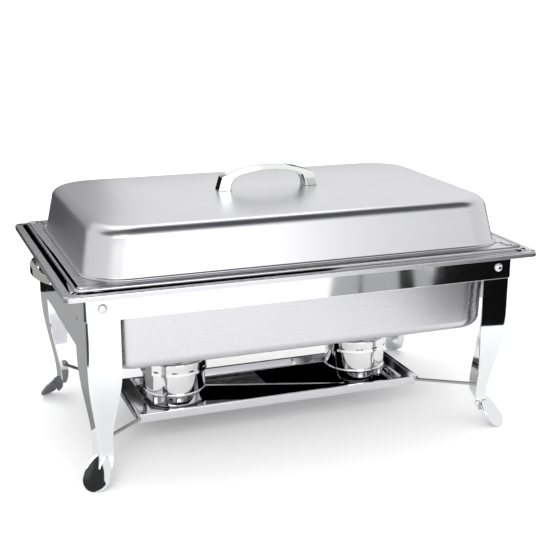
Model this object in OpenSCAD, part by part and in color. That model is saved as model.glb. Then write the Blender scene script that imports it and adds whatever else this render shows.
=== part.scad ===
// Full-size chafing dish food warmer on a folding cabriole-leg frame.
// Origin: centre of the footprint on the table. +X runs along the long side, -Y is the front, +Z is up.
// Units are millimetres.

/* [Pans] */
// Length of the food pan over its flange
food_pan_l = 530; // [528:1:532]
// Width of the food pan over its flange
food_pan_w = 330; // [328:1:332]
// Depth of the food pan below its flange
food_pan_depth = 64; // [50:1:66]
// Width of the water pan's rim left showing at each end
rim_end = 13; // [12:0.5:14]
// Width of the water pan's rim left showing at the front and rear
rim_side = 12; // [11:0.5:13]
// Depth of the water pan's body below its rim
water_pan_depth = 100; // [96:1:101]
// Height of the rim's turned-down edge
rim_drop = 6; // [5:0.5:7]
// Sheet thickness of both pans
pan_t = 1; // [0.8:0.1:1.2]

/* [Lid] */
// Height of the lid from flange to the middle of its top
lid_h = 58; // [54:1:62]
// Length of the lid over its flange
lid_l = 504; // [500:1:506]
// Width of the lid over its flange
lid_w = 309; // [305:1:311]
// Length of the handle over its feet
handle_l = 126; // [120:1:130]
// Height of the handle above the lid
handle_h = 29; // [27:1:31]
// Depth of the handle from front to back
handle_d = 18; // [16:1:20]

/* [Frame] */
// Height of the pan rim above the table
rim_z = 227; // [225:1:229]
// Height of the frame skirt's lower edge above the table
skirt_bottom = 191.5; // [190:0.5:193]
// Sheet thickness of the frame skirt
skirt_t = 1.2; // [1:0.1:1.3]
// Height of the leg pivots above the table
pivot_z = 206; // [205:0.5:207]
// Distance of each leg pivot from the middle of the frame
pivot_x = 236; // [235:0.5:237]
// Radius of a pivot rivet's shank
rivet_r = 3; // [2.8:0.1:3.1]

/* [Legs] */
// Sheet thickness of the legs
leg_t = 1.5; // [1.3:0.1:1.6]
// Height of the end panel's lower edge above the table
panel_bottom = 148; // [146:1:150]
// How far the ankle curves in along the frame
ankle_in_x = 12.5; // [11:0.5:14]
// How far the ankle curves in across the frame
ankle_in_y = 20; // [18:0.5:21]
// How far the toe flares out beyond the ankle
toe_out = 27; // [25:1:28]

/* [Fuel tray] */
// Length of the tray between the centres of its rolled ends
tray_l = 361; // [358:1:363]
// Width of the tray
tray_w = 124; // [120:1:126]
// Height of the tray's top edge above the table
tray_z = 43; // [42:0.5:44]
// Depth of the tray's well
well_depth = 9; // [8:0.5:9.5]
// Radius of the bail wire
wire_r = 2; // [1.8:0.1:2.1]

/* [Fuel holders] */
// Radius of the holder's cup
cup_r = 38; // [37:0.5:38.5]
// Height of the holder's cup
cup_h = 54; // [53:1:55]
// Distance of each holder from the middle of the tray
holder_x = 121; // [119:0.5:122]

/* [Hidden] */
$fn = 48;

// Gap left between parts that lift off each other
lift_gap = 0.3;
// Radial clearance of a turning joint
run_gap = 0.05;

// Skirt, outside size and corner radius
skirt_l = 512;
skirt_w = 312;
skirt_r = 7;
skirt_top = rim_z - pan_t - lift_gap;

// Water pan body at its top and at its bottom, with corner radii
rim_l = food_pan_l + 2 * rim_end;
rim_w = food_pan_w + 2 * rim_side;
body_l = 482;
body_w = 299;
body_taper = 4;
body_r = 46;
body_round = 12;

// Food pan body inside the water pan
food_body_l = 444;
food_body_w = 283;
food_edge = 3.7;
food_top = rim_z + lift_gap + food_edge;

// Lid levels
lid_z = food_top + lift_gap;
lid_top = lid_z + lid_h;
lid_flange = 3;
lid_step = 4;
lid_t = 1.2;
lid_corner = 44;
lid_inset = 7;
lid_round = 14;

// Leg outline levels: outer face at the top, flange edges, ankle and knee
leg_x = skirt_l / 2 - skirt_t - 0.5;
leg_y = skirt_w / 2 - skirt_t - 0.5;
leg_head = pivot_z + 9;
leg_lap = pivot_z;
front_edge_top = 217.5;
front_edge_in = 9;
side_edge_top = 94;
knee_z = 150;
ankle_z = 34;
sole_z = 9;
toe_w = 31;
leg_corner = 5.5;
toe_t = 3;

// Tray details
roll_r = 4.2;
roll_z = tray_z - 3;
tray_t = 1;
tray_lip = 10;
well_l = 326;
well_w = 118;
well_fall_x = 4;
well_fall_y = 4;
eye_x = 231;
eye_z = 48;
eye_r = 3.8;

// Holder levels
holder_z = tray_z - well_depth + lift_gap;
cup_t = 1;
collar_r = 41;
collar_h = 16;
collar_z = holder_z + cup_h - collar_h + 2;
holder_top = collar_z + collar_h;
mouth_r = 24;
cover_r = 27;
cover_t = 1.2;
cover_pin_y = 31.5;
can_r = 34;
can_h = 38;

// ---- shape helpers ----

// Smooth step from 0 to 1
function ease(t) = let (u = min(max(t, 0), 1)) u * u * (3 - 2 * u);

// Rectangle with rounded corners, centred
module round_rect(l, w, r) {
    hull() for (sx = [-1, 1], sy = [-1, 1])
        translate([sx * (l / 2 - r), sy * (w / 2 - r)]) circle(r, $fn = 32);
}

// Thin slice used as a station of a lofted pan
module slice(l, w, r, z) {
    translate([0, 0, z]) linear_extrude(0.01) round_rect(l, w, r);
}

// Straight round bar between two points
module bar(a, b, r) {
    d = b - a;
    len = norm(d);
    translate(a) rotate([0, acos(d.z / len), atan2(d.y, d.x)]) cylinder(h = len, r = r, $fn = 24);
}

// Ball that closes a bend between two bars
module bend(p, r) {
    translate(p) sphere(r, $fn = 24);
}

// ---- frame ----

module frame_skirt() {
    color("silver") difference() {
        translate([0, 0, skirt_bottom]) linear_extrude(skirt_top - skirt_bottom)
            round_rect(skirt_l, skirt_w, skirt_r);
        translate([0, 0, skirt_bottom - 1]) linear_extrude(skirt_top - skirt_bottom + 2)
            round_rect(skirt_l - 2 * skirt_t, skirt_w - 2 * skirt_t, skirt_r - skirt_t);
        for (sx = [-1, 1]) translate([sx * pivot_x, 0, pivot_z]) rotate([90, 0, 0])
            cylinder(h = skirt_w + 10, r = rivet_r, center = true);
    }
}

// One pivot rivet along +Y outwards, its flange side at y = 0
module pivot_rivet() {
    rotate([-90, 0, 0]) {
        intersection() {
            translate([0, 0, -3.2]) sphere(6, $fn = 48);
            cylinder(h = 3, r = 6);
        }
        translate([0, 0, -4.9]) cylinder(h = 4.9, r = rivet_r);
        translate([0, 0, -5.3]) cylinder(h = 0.8, r = 4.4);
    }
}

module pivot_rivets() {
    color("gainsboro") for (sx = [-1, 1], sy = [-1, 1])
        scale_y(sy) translate([sx * pivot_x, skirt_w / 2, pivot_z]) pivot_rivet();
}

// Mirror front to back for sy = -1
module scale_y(sy) {
    if (sy < 0) mirror([0, 1, 0]) children();
    else children();
}

// Mirror left to right for sx = -1
module scale_x(sx) {
    if (sx < 0) mirror([1, 0, 0]) children();
    else children();
}

module pivot_washers() {
    outer_face = leg_y - leg_t - 0.05;
    color("darkgray") for (sx = [-1, 1], sy = [-1, 1])
        scale_y(sy) translate([sx * pivot_x, outer_face, pivot_z]) rotate([90, 0, 0]) difference() {
            cylinder(h = 0.8, r = 6);
            translate([0, 0, -1]) cylinder(h = 3, r = rivet_r);
        }
}

// Carrying handle for the +X end
module end_handle() {
    reach = 24;
    half = 46;
    z = 211;
    r = 4.5;
    face = skirt_l / 2;
    turn = 14;
    color("silver") {
        for (sy = [-1, 1]) scale_y(sy) {
            translate([face, half, z]) rotate([0, 90, 0]) cylinder(h = reach - turn, r = r, $fn = 32);
            translate([face + reach - turn, half - turn, z]) rotate_extrude(angle = 90, $fn = 64)
                translate([turn, 0]) circle(r, $fn = 32);
            translate([face, half, z]) foot_plate();
        }
        translate([face + reach, 0, z]) rotate([90, 0, 0])
            cylinder(h = 2 * (half - turn), r = r, center = true, $fn = 32);
    }
}

// Foot plate of a carrying handle, with two rivet holes
module foot_plate() {
    rotate([0, 90, 0]) difference() {
        linear_extrude(1.5) round_rect(13, 34, 5);
        for (sy = [-1, 1]) translate([0, sy * 12, -1]) cylinder(h = 4, r = 1.6);
    }
}

module left_end_handle() scale_x(-1) end_handle();
module right_end_handle() end_handle();

module end_handle_rivets() {
    color("gainsboro") for (sx = [-1, 1], sy = [-1, 1], hole = [-12, 12])
        scale_x(sx) translate([skirt_l / 2, sy * 46 + hole, 211]) rotate([0, 90, 0]) {
            cylinder(h = 1.5, r = 1.6);
            translate([0, 0, 1.5]) cylinder(h = 1.2, r1 = 2.8, r2 = 1.8);
        }
}

// ---- legs ----

// Outer corner of the leg along X and along Y at height z
function flare(z) = pow(max(ankle_z - z, 0) / ankle_z, 2);
function swell(z) = ease(pow(max(knee_z - z, 0) / (knee_z - ankle_z), 1.25));
function corner_x(z) = leg_x - ankle_in_x * swell(z) + 0.6 * toe_out * flare(z);
function corner_y(z) = leg_y - ankle_in_y * swell(z) + 0.9 * toe_out * flare(z);
function front_edge(z) = front_edge_top + front_edge_in * ease((135 - z) / 85);

// Heights of the outline's stations, close together where the leg curves
leg_levels = [for (i = [0 : 14]) sole_z + (knee_z - sole_z) * i / 14];

// Sheet along X that follows the leg's side curve, seen from the front
module side_sheet(top) {
    outer = [for (z = leg_levels) [corner_x(z), z]];
    inner = [for (i = [14 : -1 : 0]) [corner_x(leg_levels[i]) - leg_t, leg_levels[i]]];
    polygon(concat(outer, [[leg_x, top], [leg_x - leg_t, top]], inner));
}

// Sheet along Y that follows the leg's front curve, seen from the end
module front_sheet(top) {
    outer = [for (z = leg_levels) [corner_y(z), z]];
    inner = [for (i = [14 : -1 : 0]) [corner_y(leg_levels[i]) - leg_t, leg_levels[i]]];
    polygon(concat(outer, [[leg_y, top], [leg_y - leg_t, top]], inner));
}

// Outline of the front flange, seen from the front
module front_outline() {
    levels = [for (z = leg_levels) if (z > 24) z];
    last = len(levels) - 1;
    outer = [for (z = leg_levels) [corner_x(z) + 0.01, z]];
    inner = [for (i = [last : -1 : 0]) [front_edge(levels[i]), levels[i]]];
    head = [
        [leg_x, leg_lap - 1], [leg_x - 6, leg_lap + 6], [leg_x - 14, leg_head],
        [front_edge_top + 4, leg_head], [front_edge_top, leg_head - 4]
    ];
    polygon(concat(outer, head, inner));
}

// Outline of the side flange, seen from the end
module side_outline() {
    levels = [for (z = leg_levels) if (z > 34) z];
    outer = [for (z = leg_levels) [corner_y(z) + 0.01, z]];
    polygon(concat(outer, [[leg_y, leg_lap], [side_edge_top, leg_lap], [side_edge_top, levels[0]]]));
}

// Leaf-shaped toe that slopes down and out to the table
module toe() {
    heel_x = corner_x(sole_z + 16);
    heel_y = corner_y(sole_z + 16);
    run = 24;
    azimuth = 57;
    fall = 50;
    intersection() {
        translate([heel_x - 3, heel_y - 4, sole_z + 17]) rotate([0, fall, azimuth]) linear_extrude(toe_t)
            hull() {
                translate([run - 3, 0]) circle(toe_w / 2, $fn = 48);
                translate([3, 0]) circle(11, $fn = 32);
            }
        cube([400, 300, 60]);
    }
}

// Straight upper part of a leg: an angle with a rounded corner
module leg_top() {
    flange_reach = 12;
    intersection() {
        translate([0, 0, knee_z]) linear_extrude(leg_head - knee_z) difference() {
            round_rect(2 * leg_x, 2 * leg_y, leg_corner);
            round_rect(2 * (leg_x - leg_t), 2 * (leg_y - leg_t), leg_corner - leg_t);
        }
        union() {
            translate([0, leg_y + 60, 0]) rotate([90, 0, 0]) linear_extrude(60 + flange_reach) front_outline();
            translate([leg_x - flange_reach, 0, 0]) rotate([90, 0, 90])
                linear_extrude(60 + flange_reach) side_outline();
        }
    }
}

// Cabriole part of a leg: the two flanges follow the curve of the corner
module leg_curve() {
    intersection() {
        union() {
            intersection() {
                translate([0, leg_y + 60, 0]) rotate([90, 0, 0]) linear_extrude(leg_y + 60) front_outline();
                rotate([90, 0, 90]) linear_extrude(leg_x + 60) front_sheet(leg_head);
            }
            intersection() {
                rotate([90, 0, 90]) linear_extrude(leg_x + 60) side_outline();
                translate([0, leg_y + 60, 0]) rotate([90, 0, 0]) linear_extrude(leg_y + 60) side_sheet(leg_lap);
            }
        }
        cube([leg_x + 60, leg_y + 60, knee_z]);
    }
}

// Rear right leg; the other three are its mirror images
module leg() {
    color("silver") difference() {
        union() {
            leg_top();
            leg_curve();
            toe();
        }
        translate([pivot_x, leg_y - 5, pivot_z]) rotate([-90, 0, 0]) cylinder(h = 10, r = rivet_r + run_gap);
    }
}

module left_front_leg() scale_x(-1) scale_y(-1) leg();
module left_rear_leg() scale_x(-1) leg();
module right_front_leg() scale_y(-1) leg();
module right_rear_leg() leg();

// Panel welded between the two legs of the +X end
module end_panel() {
    color("silver") translate([leg_x - leg_t, 0, 0]) rotate([90, 0, 90]) linear_extrude(leg_t)
        translate([-side_edge_top, panel_bottom]) square([2 * side_edge_top, leg_lap - panel_bottom]);
}

module left_end_panel() scale_x(-1) end_panel();
module right_end_panel() end_panel();

// Eyes inside the ankles that take the bail wire's tips
module wire_eyes() {
    face = corner_y(eye_z - eye_r) - leg_t - 0.05;
    color("darkgray") for (sy = [-1, 1]) scale_y(sy)
        translate([eye_x, face, eye_z]) rotate([90, 0, 0]) difference() {
            cylinder(h = 5, r = eye_r);
            translate([0, 0, -1]) cylinder(h = 7, r = wire_r + 0.4);
        }
}

module left_wire_eyes() scale_x(-1) wire_eyes();
module right_wire_eyes() wire_eyes();

// ---- fuel tray ----

module fuel_tray() {
    half = tray_l / 2;
    deck = half - 2.5;
    lip_end = half - roll_r - 2;
    color("silver") difference() {
        union() {
            difference() {
                translate([-deck, -tray_w / 2, tray_z - tray_t]) cube([2 * deck, tray_w, tray_t]);
                translate([-well_l / 2, -well_w / 2, tray_z - tray_t - 1]) cube([well_l, well_w, tray_t + 2]);
            }
            for (y = [-tray_w / 2, tray_w / 2 - tray_t]) translate([-lip_end, y, tray_z - tray_lip])
                cube([2 * lip_end, tray_t, tray_lip]);
            well_pan();
            for (sx = [-1, 1]) translate([sx * half, 0, roll_z]) rotate([90, 0, 0])
                cylinder(h = tray_w - 6, r = roll_r, center = true);
        }
        for (sx = [-1, 1]) translate([sx * half, 0, roll_z]) rotate([90, 0, 0])
            cylinder(h = tray_w + 2, r = wire_r + run_gap, center = true);
    }
}

// Sunken floor of the tray with its sloping walls
module well_pan() {
    difference() {
        well_form(tray_t, 0);
        well_form(0, 1);
    }
}

// Solid form of the well, grown outwards, its sides continued straight up above the deck
module well_form(grow, above) {
    intersection() {
        translate([0, tray_w, 0]) rotate([90, 0, 0]) linear_extrude(2 * tray_w)
            well_section(well_l / 2 + grow, well_fall_x, grow, above);
        translate([-tray_l, 0, 0]) rotate([90, 0, 90]) linear_extrude(2 * tray_l)
            well_section(well_w / 2 + grow, well_fall_y, grow, above);
    }
}

// Section of the well: half its width at the deck, how far its sides fall in, and its extra depth
module well_section(half, fall, drop, above) {
    floor_z = tray_z - well_depth - drop;
    polygon([
        [-half, tray_z + above], [-half, tray_z - 0.01], [fall - half, floor_z],
        [half - fall, floor_z], [half, tray_z - 0.01], [half, tray_z + above]
    ]);
}

// U-shaped wire at the +X end of the tray
module bail() {
    hinge = tray_l / 2;
    elbow_y = tray_w / 2 + 4;
    tip_y = corner_y(eye_z) - leg_t - 1.5;
    arm_y = tip_y - 8;
    color("dimgray") {
        bar([hinge, -elbow_y, roll_z], [hinge, elbow_y, roll_z], wire_r);
        for (sy = [-1, 1]) {
            bend([hinge, sy * elbow_y, roll_z], wire_r);
            bar([hinge, sy * elbow_y, roll_z], [eye_x, sy * arm_y, eye_z], wire_r);
            bend([eye_x, sy * arm_y, eye_z], wire_r);
            bar([eye_x, sy * arm_y, eye_z], [eye_x, sy * tip_y, eye_z], wire_r);
        }
    }
}

module left_bail() scale_x(-1) bail();
module right_bail() bail();

// ---- fuel holders ----

// Open cup with a rolled foot, standing in the well
module holder_cup() {
    color("silver") rotate_extrude($fn = 96) polygon([
        [0, holder_z], [cup_r - 3, holder_z], [cup_r, holder_z + 3], [cup_r, holder_z + 14],
        [cup_r + 1, holder_z + 15.5], [cup_r, holder_z + 17], [cup_r, holder_z + cup_h],
        [cup_r - cup_t, holder_z + cup_h], [cup_r - cup_t, holder_z + 3.6], [cup_r - 3.4, holder_z + cup_t],
        [0, holder_z + cup_t]
    ]);
}

// Drop-on collar with a round mouth in its top, pierced with air slots
module holder_collar() {
    color("silver") difference() {
        rotate_extrude($fn = 96) polygon([
            [cup_r + 0.1, collar_z], [collar_r, collar_z], [collar_r, holder_top - 2], [collar_r - 2, holder_top],
            [mouth_r, holder_top], [mouth_r, holder_top - 1], [cup_r + 0.1, holder_top - 1]
        ]);
        for (turn = [0 : 30 : 330]) rotate([0, 0, turn + 15]) translate([collar_r - 5, -4, collar_z + 4])
            cube([10, 8, 2.2]);
        translate([0, cover_pin_y, holder_top - 3]) cylinder(h = 6, r = 1.5);
    }
}

// Disc that swings over the mouth to put the flame out or to set its size
module swivel_cover() {
    base = holder_top + lift_gap;
    color("silver") difference() {
        union() {
            translate([0, 0, base]) cylinder(h = cover_t, r = cover_r);
            translate([0, cover_pin_y, base]) cylinder(h = cover_t, r = 5);
            translate([-5, 20, base]) cube([10, cover_pin_y - 20, cover_t]);
        }
        translate([0, cover_pin_y, base - 1]) cylinder(h = 4, r = 1.5 + run_gap);
        translate([0, 0, base - 1]) cylinder(h = 4, r = 7);
        translate([0, -20, base - 1]) cylinder(h = 4, r = 1.5);
    }
}

module cover_rivet() {
    base = holder_top + lift_gap;
    color("gainsboro") translate([0, cover_pin_y, 0]) {
        translate([0, 0, holder_top - 1]) cylinder(h = base - holder_top + 1 + cover_t + 0.1, r = 1.5);
        translate([0, 0, base + cover_t + 0.1]) cylinder(h = 1, r1 = 3, r2 = 2);
        translate([0, 0, holder_top - 1.8]) cylinder(h = 0.8, r = 2.6);
    }
}

module cover_knob() {
    base = holder_top + lift_gap;
    color("silver") translate([0, -20, 0]) {
        translate([0, 0, base]) cylinder(h = cover_t, r = 1.5);
        translate([0, 0, base + cover_t]) cylinder(h = 3, r = 2);
        translate([0, 0, base + cover_t + 3]) cylinder(h = 4, r1 = 4, r2 = 3.4);
    }
}

// Closed tin of fuel with a raised mouth
module fuel_can() {
    floor_z = holder_z + cup_t + lift_gap;
    color("lightsteelblue") rotate_extrude($fn = 96) polygon([
        [0, floor_z], [can_r, floor_z], [can_r + 0.8, floor_z + 1], [can_r, floor_z + 2],
        [can_r, floor_z + can_h - 2], [can_r + 0.8, floor_z + can_h - 1], [can_r, floor_z + can_h],
        [can_r - 2, floor_z + can_h - 1.5], [16, floor_z + can_h - 1.5], [16, floor_z + can_h + 2],
        [3, floor_z + can_h + 2], [3, floor_z + can_h - 4], [0, floor_z + can_h - 4]
    ]);
}

module wick() {
    floor_z = holder_z + cup_t + lift_gap;
    color("ivory") translate([0, 0, floor_z + can_h - 4]) cylinder(h = 10, r = 3);
}

module on_left() translate([-holder_x, 0, 0]) children();
module on_right() translate([holder_x, 0, 0]) children();

module left_holder_cup() on_left() holder_cup();
module left_holder_collar() on_left() holder_collar();
module left_swivel_cover() on_left() swivel_cover();
module left_cover_rivet() on_left() cover_rivet();
module left_cover_knob() on_left() cover_knob();
module left_fuel_can() on_left() fuel_can();
module left_wick() on_left() wick();
module right_holder_cup() on_right() holder_cup();
module right_holder_collar() on_right() holder_collar();
module right_swivel_cover() on_right() swivel_cover();
module right_cover_rivet() on_right() cover_rivet();
module right_cover_knob() on_right() cover_knob();
module right_fuel_can() on_right() fuel_can();
module right_wick() on_right() wick();

// ---- pans ----

// Lofted pan body from z_top down to z_bottom, with a rounded lower edge
module pan_body(l, w, r, z_top, z_bottom, taper, round) {
    hull() {
        slice(l, w, r, z_top - 0.01);
        for (a = [0 : 22.5 : 90]) {
            inset = taper + round * (1 - cos(a));
            slice(l - 2 * inset, w - 2 * inset, r - inset / 2, z_bottom + round * (1 - sin(a)));
        }
    }
}

module water_pan() {
    color("silver") difference() {
        union() {
            translate([0, 0, rim_z - pan_t]) linear_extrude(pan_t) round_rect(rim_l, rim_w, 9);
            translate([0, 0, rim_z - rim_drop]) linear_extrude(rim_drop) difference() {
                round_rect(rim_l, rim_w, 9);
                round_rect(rim_l - 2 * pan_t, rim_w - 2 * pan_t, 8);
            }
            pan_body(body_l, body_w, body_r, rim_z - pan_t + 0.5, rim_z - water_pan_depth, body_taper, body_round);
        }
        pan_body(body_l - 2 * pan_t, body_w - 2 * pan_t, body_r - pan_t, rim_z + 1,
            rim_z - water_pan_depth + pan_t, body_taper, body_round - pan_t);
    }
}

module food_pan() {
    color("silver") difference() {
        union() {
            translate([0, 0, food_top - pan_t]) linear_extrude(pan_t) round_rect(food_pan_l, food_pan_w, 7);
            translate([0, 0, food_top - food_edge]) linear_extrude(food_edge) difference() {
                round_rect(food_pan_l, food_pan_w, 7);
                round_rect(food_pan_l - 2 * pan_t, food_pan_w - 2 * pan_t, 6);
            }
            pan_body(food_body_l, food_body_w, 40, food_top - pan_t + 0.5, food_top - food_pan_depth, 5, 16);
        }
        pan_body(food_body_l - 2 * pan_t, food_body_w - 2 * pan_t, 40 - pan_t, food_top + 1,
            food_top - food_pan_depth + pan_t, 5, 16 - pan_t);
    }
}

// ---- lid ----

// Outside of the lid, shrunk by t on every side
module lid_form(t) {
    wall_l = lid_l - 2 * lid_step;
    wall_w = lid_w - 2 * lid_step;
    crown = 3;
    hull() {
        slice(wall_l - 2 * t, wall_w - 2 * t, lid_corner - t, lid_z - (t > 0 ? 1 : 0));
        for (a = [0 : 18 : 90]) {
            inset = lid_inset + lid_round * (1 - cos(a)) + t;
            slice(wall_l - 2 * inset, wall_w - 2 * inset, lid_corner - t,
                lid_top - crown - t - lid_round * (1 - sin(a)));
        }
        slice(wall_l - 260, wall_w - 180, lid_corner, lid_top - t - 0.01);
    }
}

module lid() {
    color("lightgray") difference() {
        union() {
            translate([0, 0, lid_z]) linear_extrude(lid_flange) round_rect(lid_l, lid_w, lid_corner + 2);
            lid_form(0);
        }
        lid_form(lid_t);
        for (sx = [-1, 1]) translate([sx * (handle_l / 2 - 9), 0, lid_top - 10]) cylinder(h = 20, r = 2);
    }
}

// Cast bow handle on the lid
module lid_handle() {
    half = handle_l / 2;
    foot = 17;
    top = lid_top + handle_h;
    base = lid_top;
    color("gainsboro") difference() {
        translate([0, handle_d / 2, 0]) rotate([90, 0, 0]) linear_extrude(handle_d) difference() {
            polygon([
                [-half, base], [-half + 5, base + 17], [-half + 26, top - 5], [-14, top], [14, top],
                [half - 26, top - 5], [half - 5, base + 17], [half, base]
            ]);
            bow_gap(half - foot, base, handle_h - 6);
        }
        for (sx = [-1, 1]) translate([sx * (half - 9), 0, base - 1]) cylinder(h = 9, r = 1.95);
    }
}

// Finger gap of the bow: straight sides that close in an elliptic arch
module bow_gap(half, base, height) {
    arch = [for (a = [0 : 15 : 180]) [half * cos(a), base + height * pow(sin(a), 0.55)]];
    polygon(concat([[half, base - 1]], arch, [[-half, base - 1]]));
}

module lid_handle_screws() {
    under = lid_top - lid_t - 0.2;
    color("darkgray") for (sx = [-1, 1]) translate([sx * (handle_l / 2 - 9), 0, 0]) {
        translate([0, 0, under]) cylinder(h = 7, r = 1.9);
        translate([0, 0, under - 2.2]) cylinder(h = 2.2, r1 = 2.6, r2 = 4);
    }
}

frame_skirt();
pivot_rivets();
pivot_washers();
left_end_handle();
right_end_handle();
end_handle_rivets();
left_end_panel();
left_front_leg();
left_rear_leg();
left_wire_eyes();
right_end_panel();
right_front_leg();
right_rear_leg();
right_wire_eyes();
fuel_tray();
left_bail();
right_bail();
left_holder_cup();
left_holder_collar();
left_swivel_cover();
left_cover_rivet();
left_cover_knob();
left_fuel_can();
left_wick();
right_holder_cup();
right_holder_collar();
right_swivel_cover();
right_cover_rivet();
right_cover_knob();
right_fuel_can();
right_wick();
water_pan();
food_pan();
lid();
lid_handle();
lid_handle_screws();
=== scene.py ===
"""Looks of a full-size chafing dish food warmer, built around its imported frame.

Every class below is one sub-assembly as it comes off the bench: the frame with its end handles, the
folding leg sets, the fuel tray, the fuel holders, the two pans and the lid. Lengths are in metres and
places come from the frame's own boxes.
"""

import logging
import math
from dataclasses import dataclass
from enum import Enum
from typing import Callable, Iterable, Sequence

import bmesh
import bpy
from mathutils import Matrix, Vector


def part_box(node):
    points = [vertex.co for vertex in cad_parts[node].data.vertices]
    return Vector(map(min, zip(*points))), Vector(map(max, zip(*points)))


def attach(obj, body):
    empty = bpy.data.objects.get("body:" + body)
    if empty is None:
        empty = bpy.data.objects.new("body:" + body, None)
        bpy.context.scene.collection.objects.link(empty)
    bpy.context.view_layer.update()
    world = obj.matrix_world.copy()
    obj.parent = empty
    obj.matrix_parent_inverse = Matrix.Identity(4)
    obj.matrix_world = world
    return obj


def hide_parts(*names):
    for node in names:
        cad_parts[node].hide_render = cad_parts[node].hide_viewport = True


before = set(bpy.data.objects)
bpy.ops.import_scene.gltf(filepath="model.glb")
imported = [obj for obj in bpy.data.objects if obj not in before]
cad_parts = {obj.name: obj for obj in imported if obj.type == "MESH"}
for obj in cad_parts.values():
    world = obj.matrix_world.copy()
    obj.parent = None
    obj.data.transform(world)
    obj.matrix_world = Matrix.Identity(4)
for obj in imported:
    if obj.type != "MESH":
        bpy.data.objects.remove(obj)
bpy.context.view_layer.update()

log = logging.getLogger("chafing_dish")

Colour = tuple[float, float, float]
Point = tuple[float, float, float]


# ---- places taken from the frame ----


@dataclass(frozen=True)
class Box:
    """A node's extents at rest."""

    low: Vector
    high: Vector

    @classmethod
    def of(cls, node: str) -> "Box":
        """Returns the box of the frame's node of that name."""
        low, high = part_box(node)
        return cls(low, high)

    @property
    def size(self) -> Vector:
        """Edge lengths along X, Y and Z."""
        return self.high - self.low

    @property
    def middle(self) -> Vector:
        """Centre of the box."""
        return (self.high + self.low) / 2


class End(Enum):
    """The two short ends of the dish, with their sign along X."""

    LEFT = -1
    RIGHT = 1

    @property
    def word(self) -> str:
        """Name used in front of a piece, such as left."""
        return self.name.lower()


class Side(Enum):
    """The two long sides of the dish, with their sign along Y."""

    FRONT = -1
    REAR = 1

    @property
    def word(self) -> str:
        """Name used in front of a piece, such as front."""
        return self.name.lower()


def ease(share: float) -> float:
    """Smooth step from 0 to 1."""
    held = min(max(share, 0.0), 1.0)
    return held * held * (3 - 2 * held)


# ---- modelling by hand, in edit mode ----


@dataclass(frozen=True)
class Ring:
    """One station of a pressed shell: a rounded rectangle lying flat at a height."""

    length: float
    width: float
    corner: float
    height: float

    def grown(self, by: float, lift: float = 0.0) -> "Ring":
        """Returns the ring pushed out by a distance on every side, and lifted."""
        corner = max(self.corner + by, 0.0005)
        return Ring(self.length + 2 * by, self.width + 2 * by, corner, self.height + lift)


def between(first: Ring, second: Ring, share: float) -> Ring:
    """Returns the ring that lies a share of the way from one ring to another."""
    rest = 1 - share
    return Ring(first.length * rest + second.length * share, first.width * rest + second.width * share,
                first.corner * rest + second.corner * share, first.height * rest + second.height * share)


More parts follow.
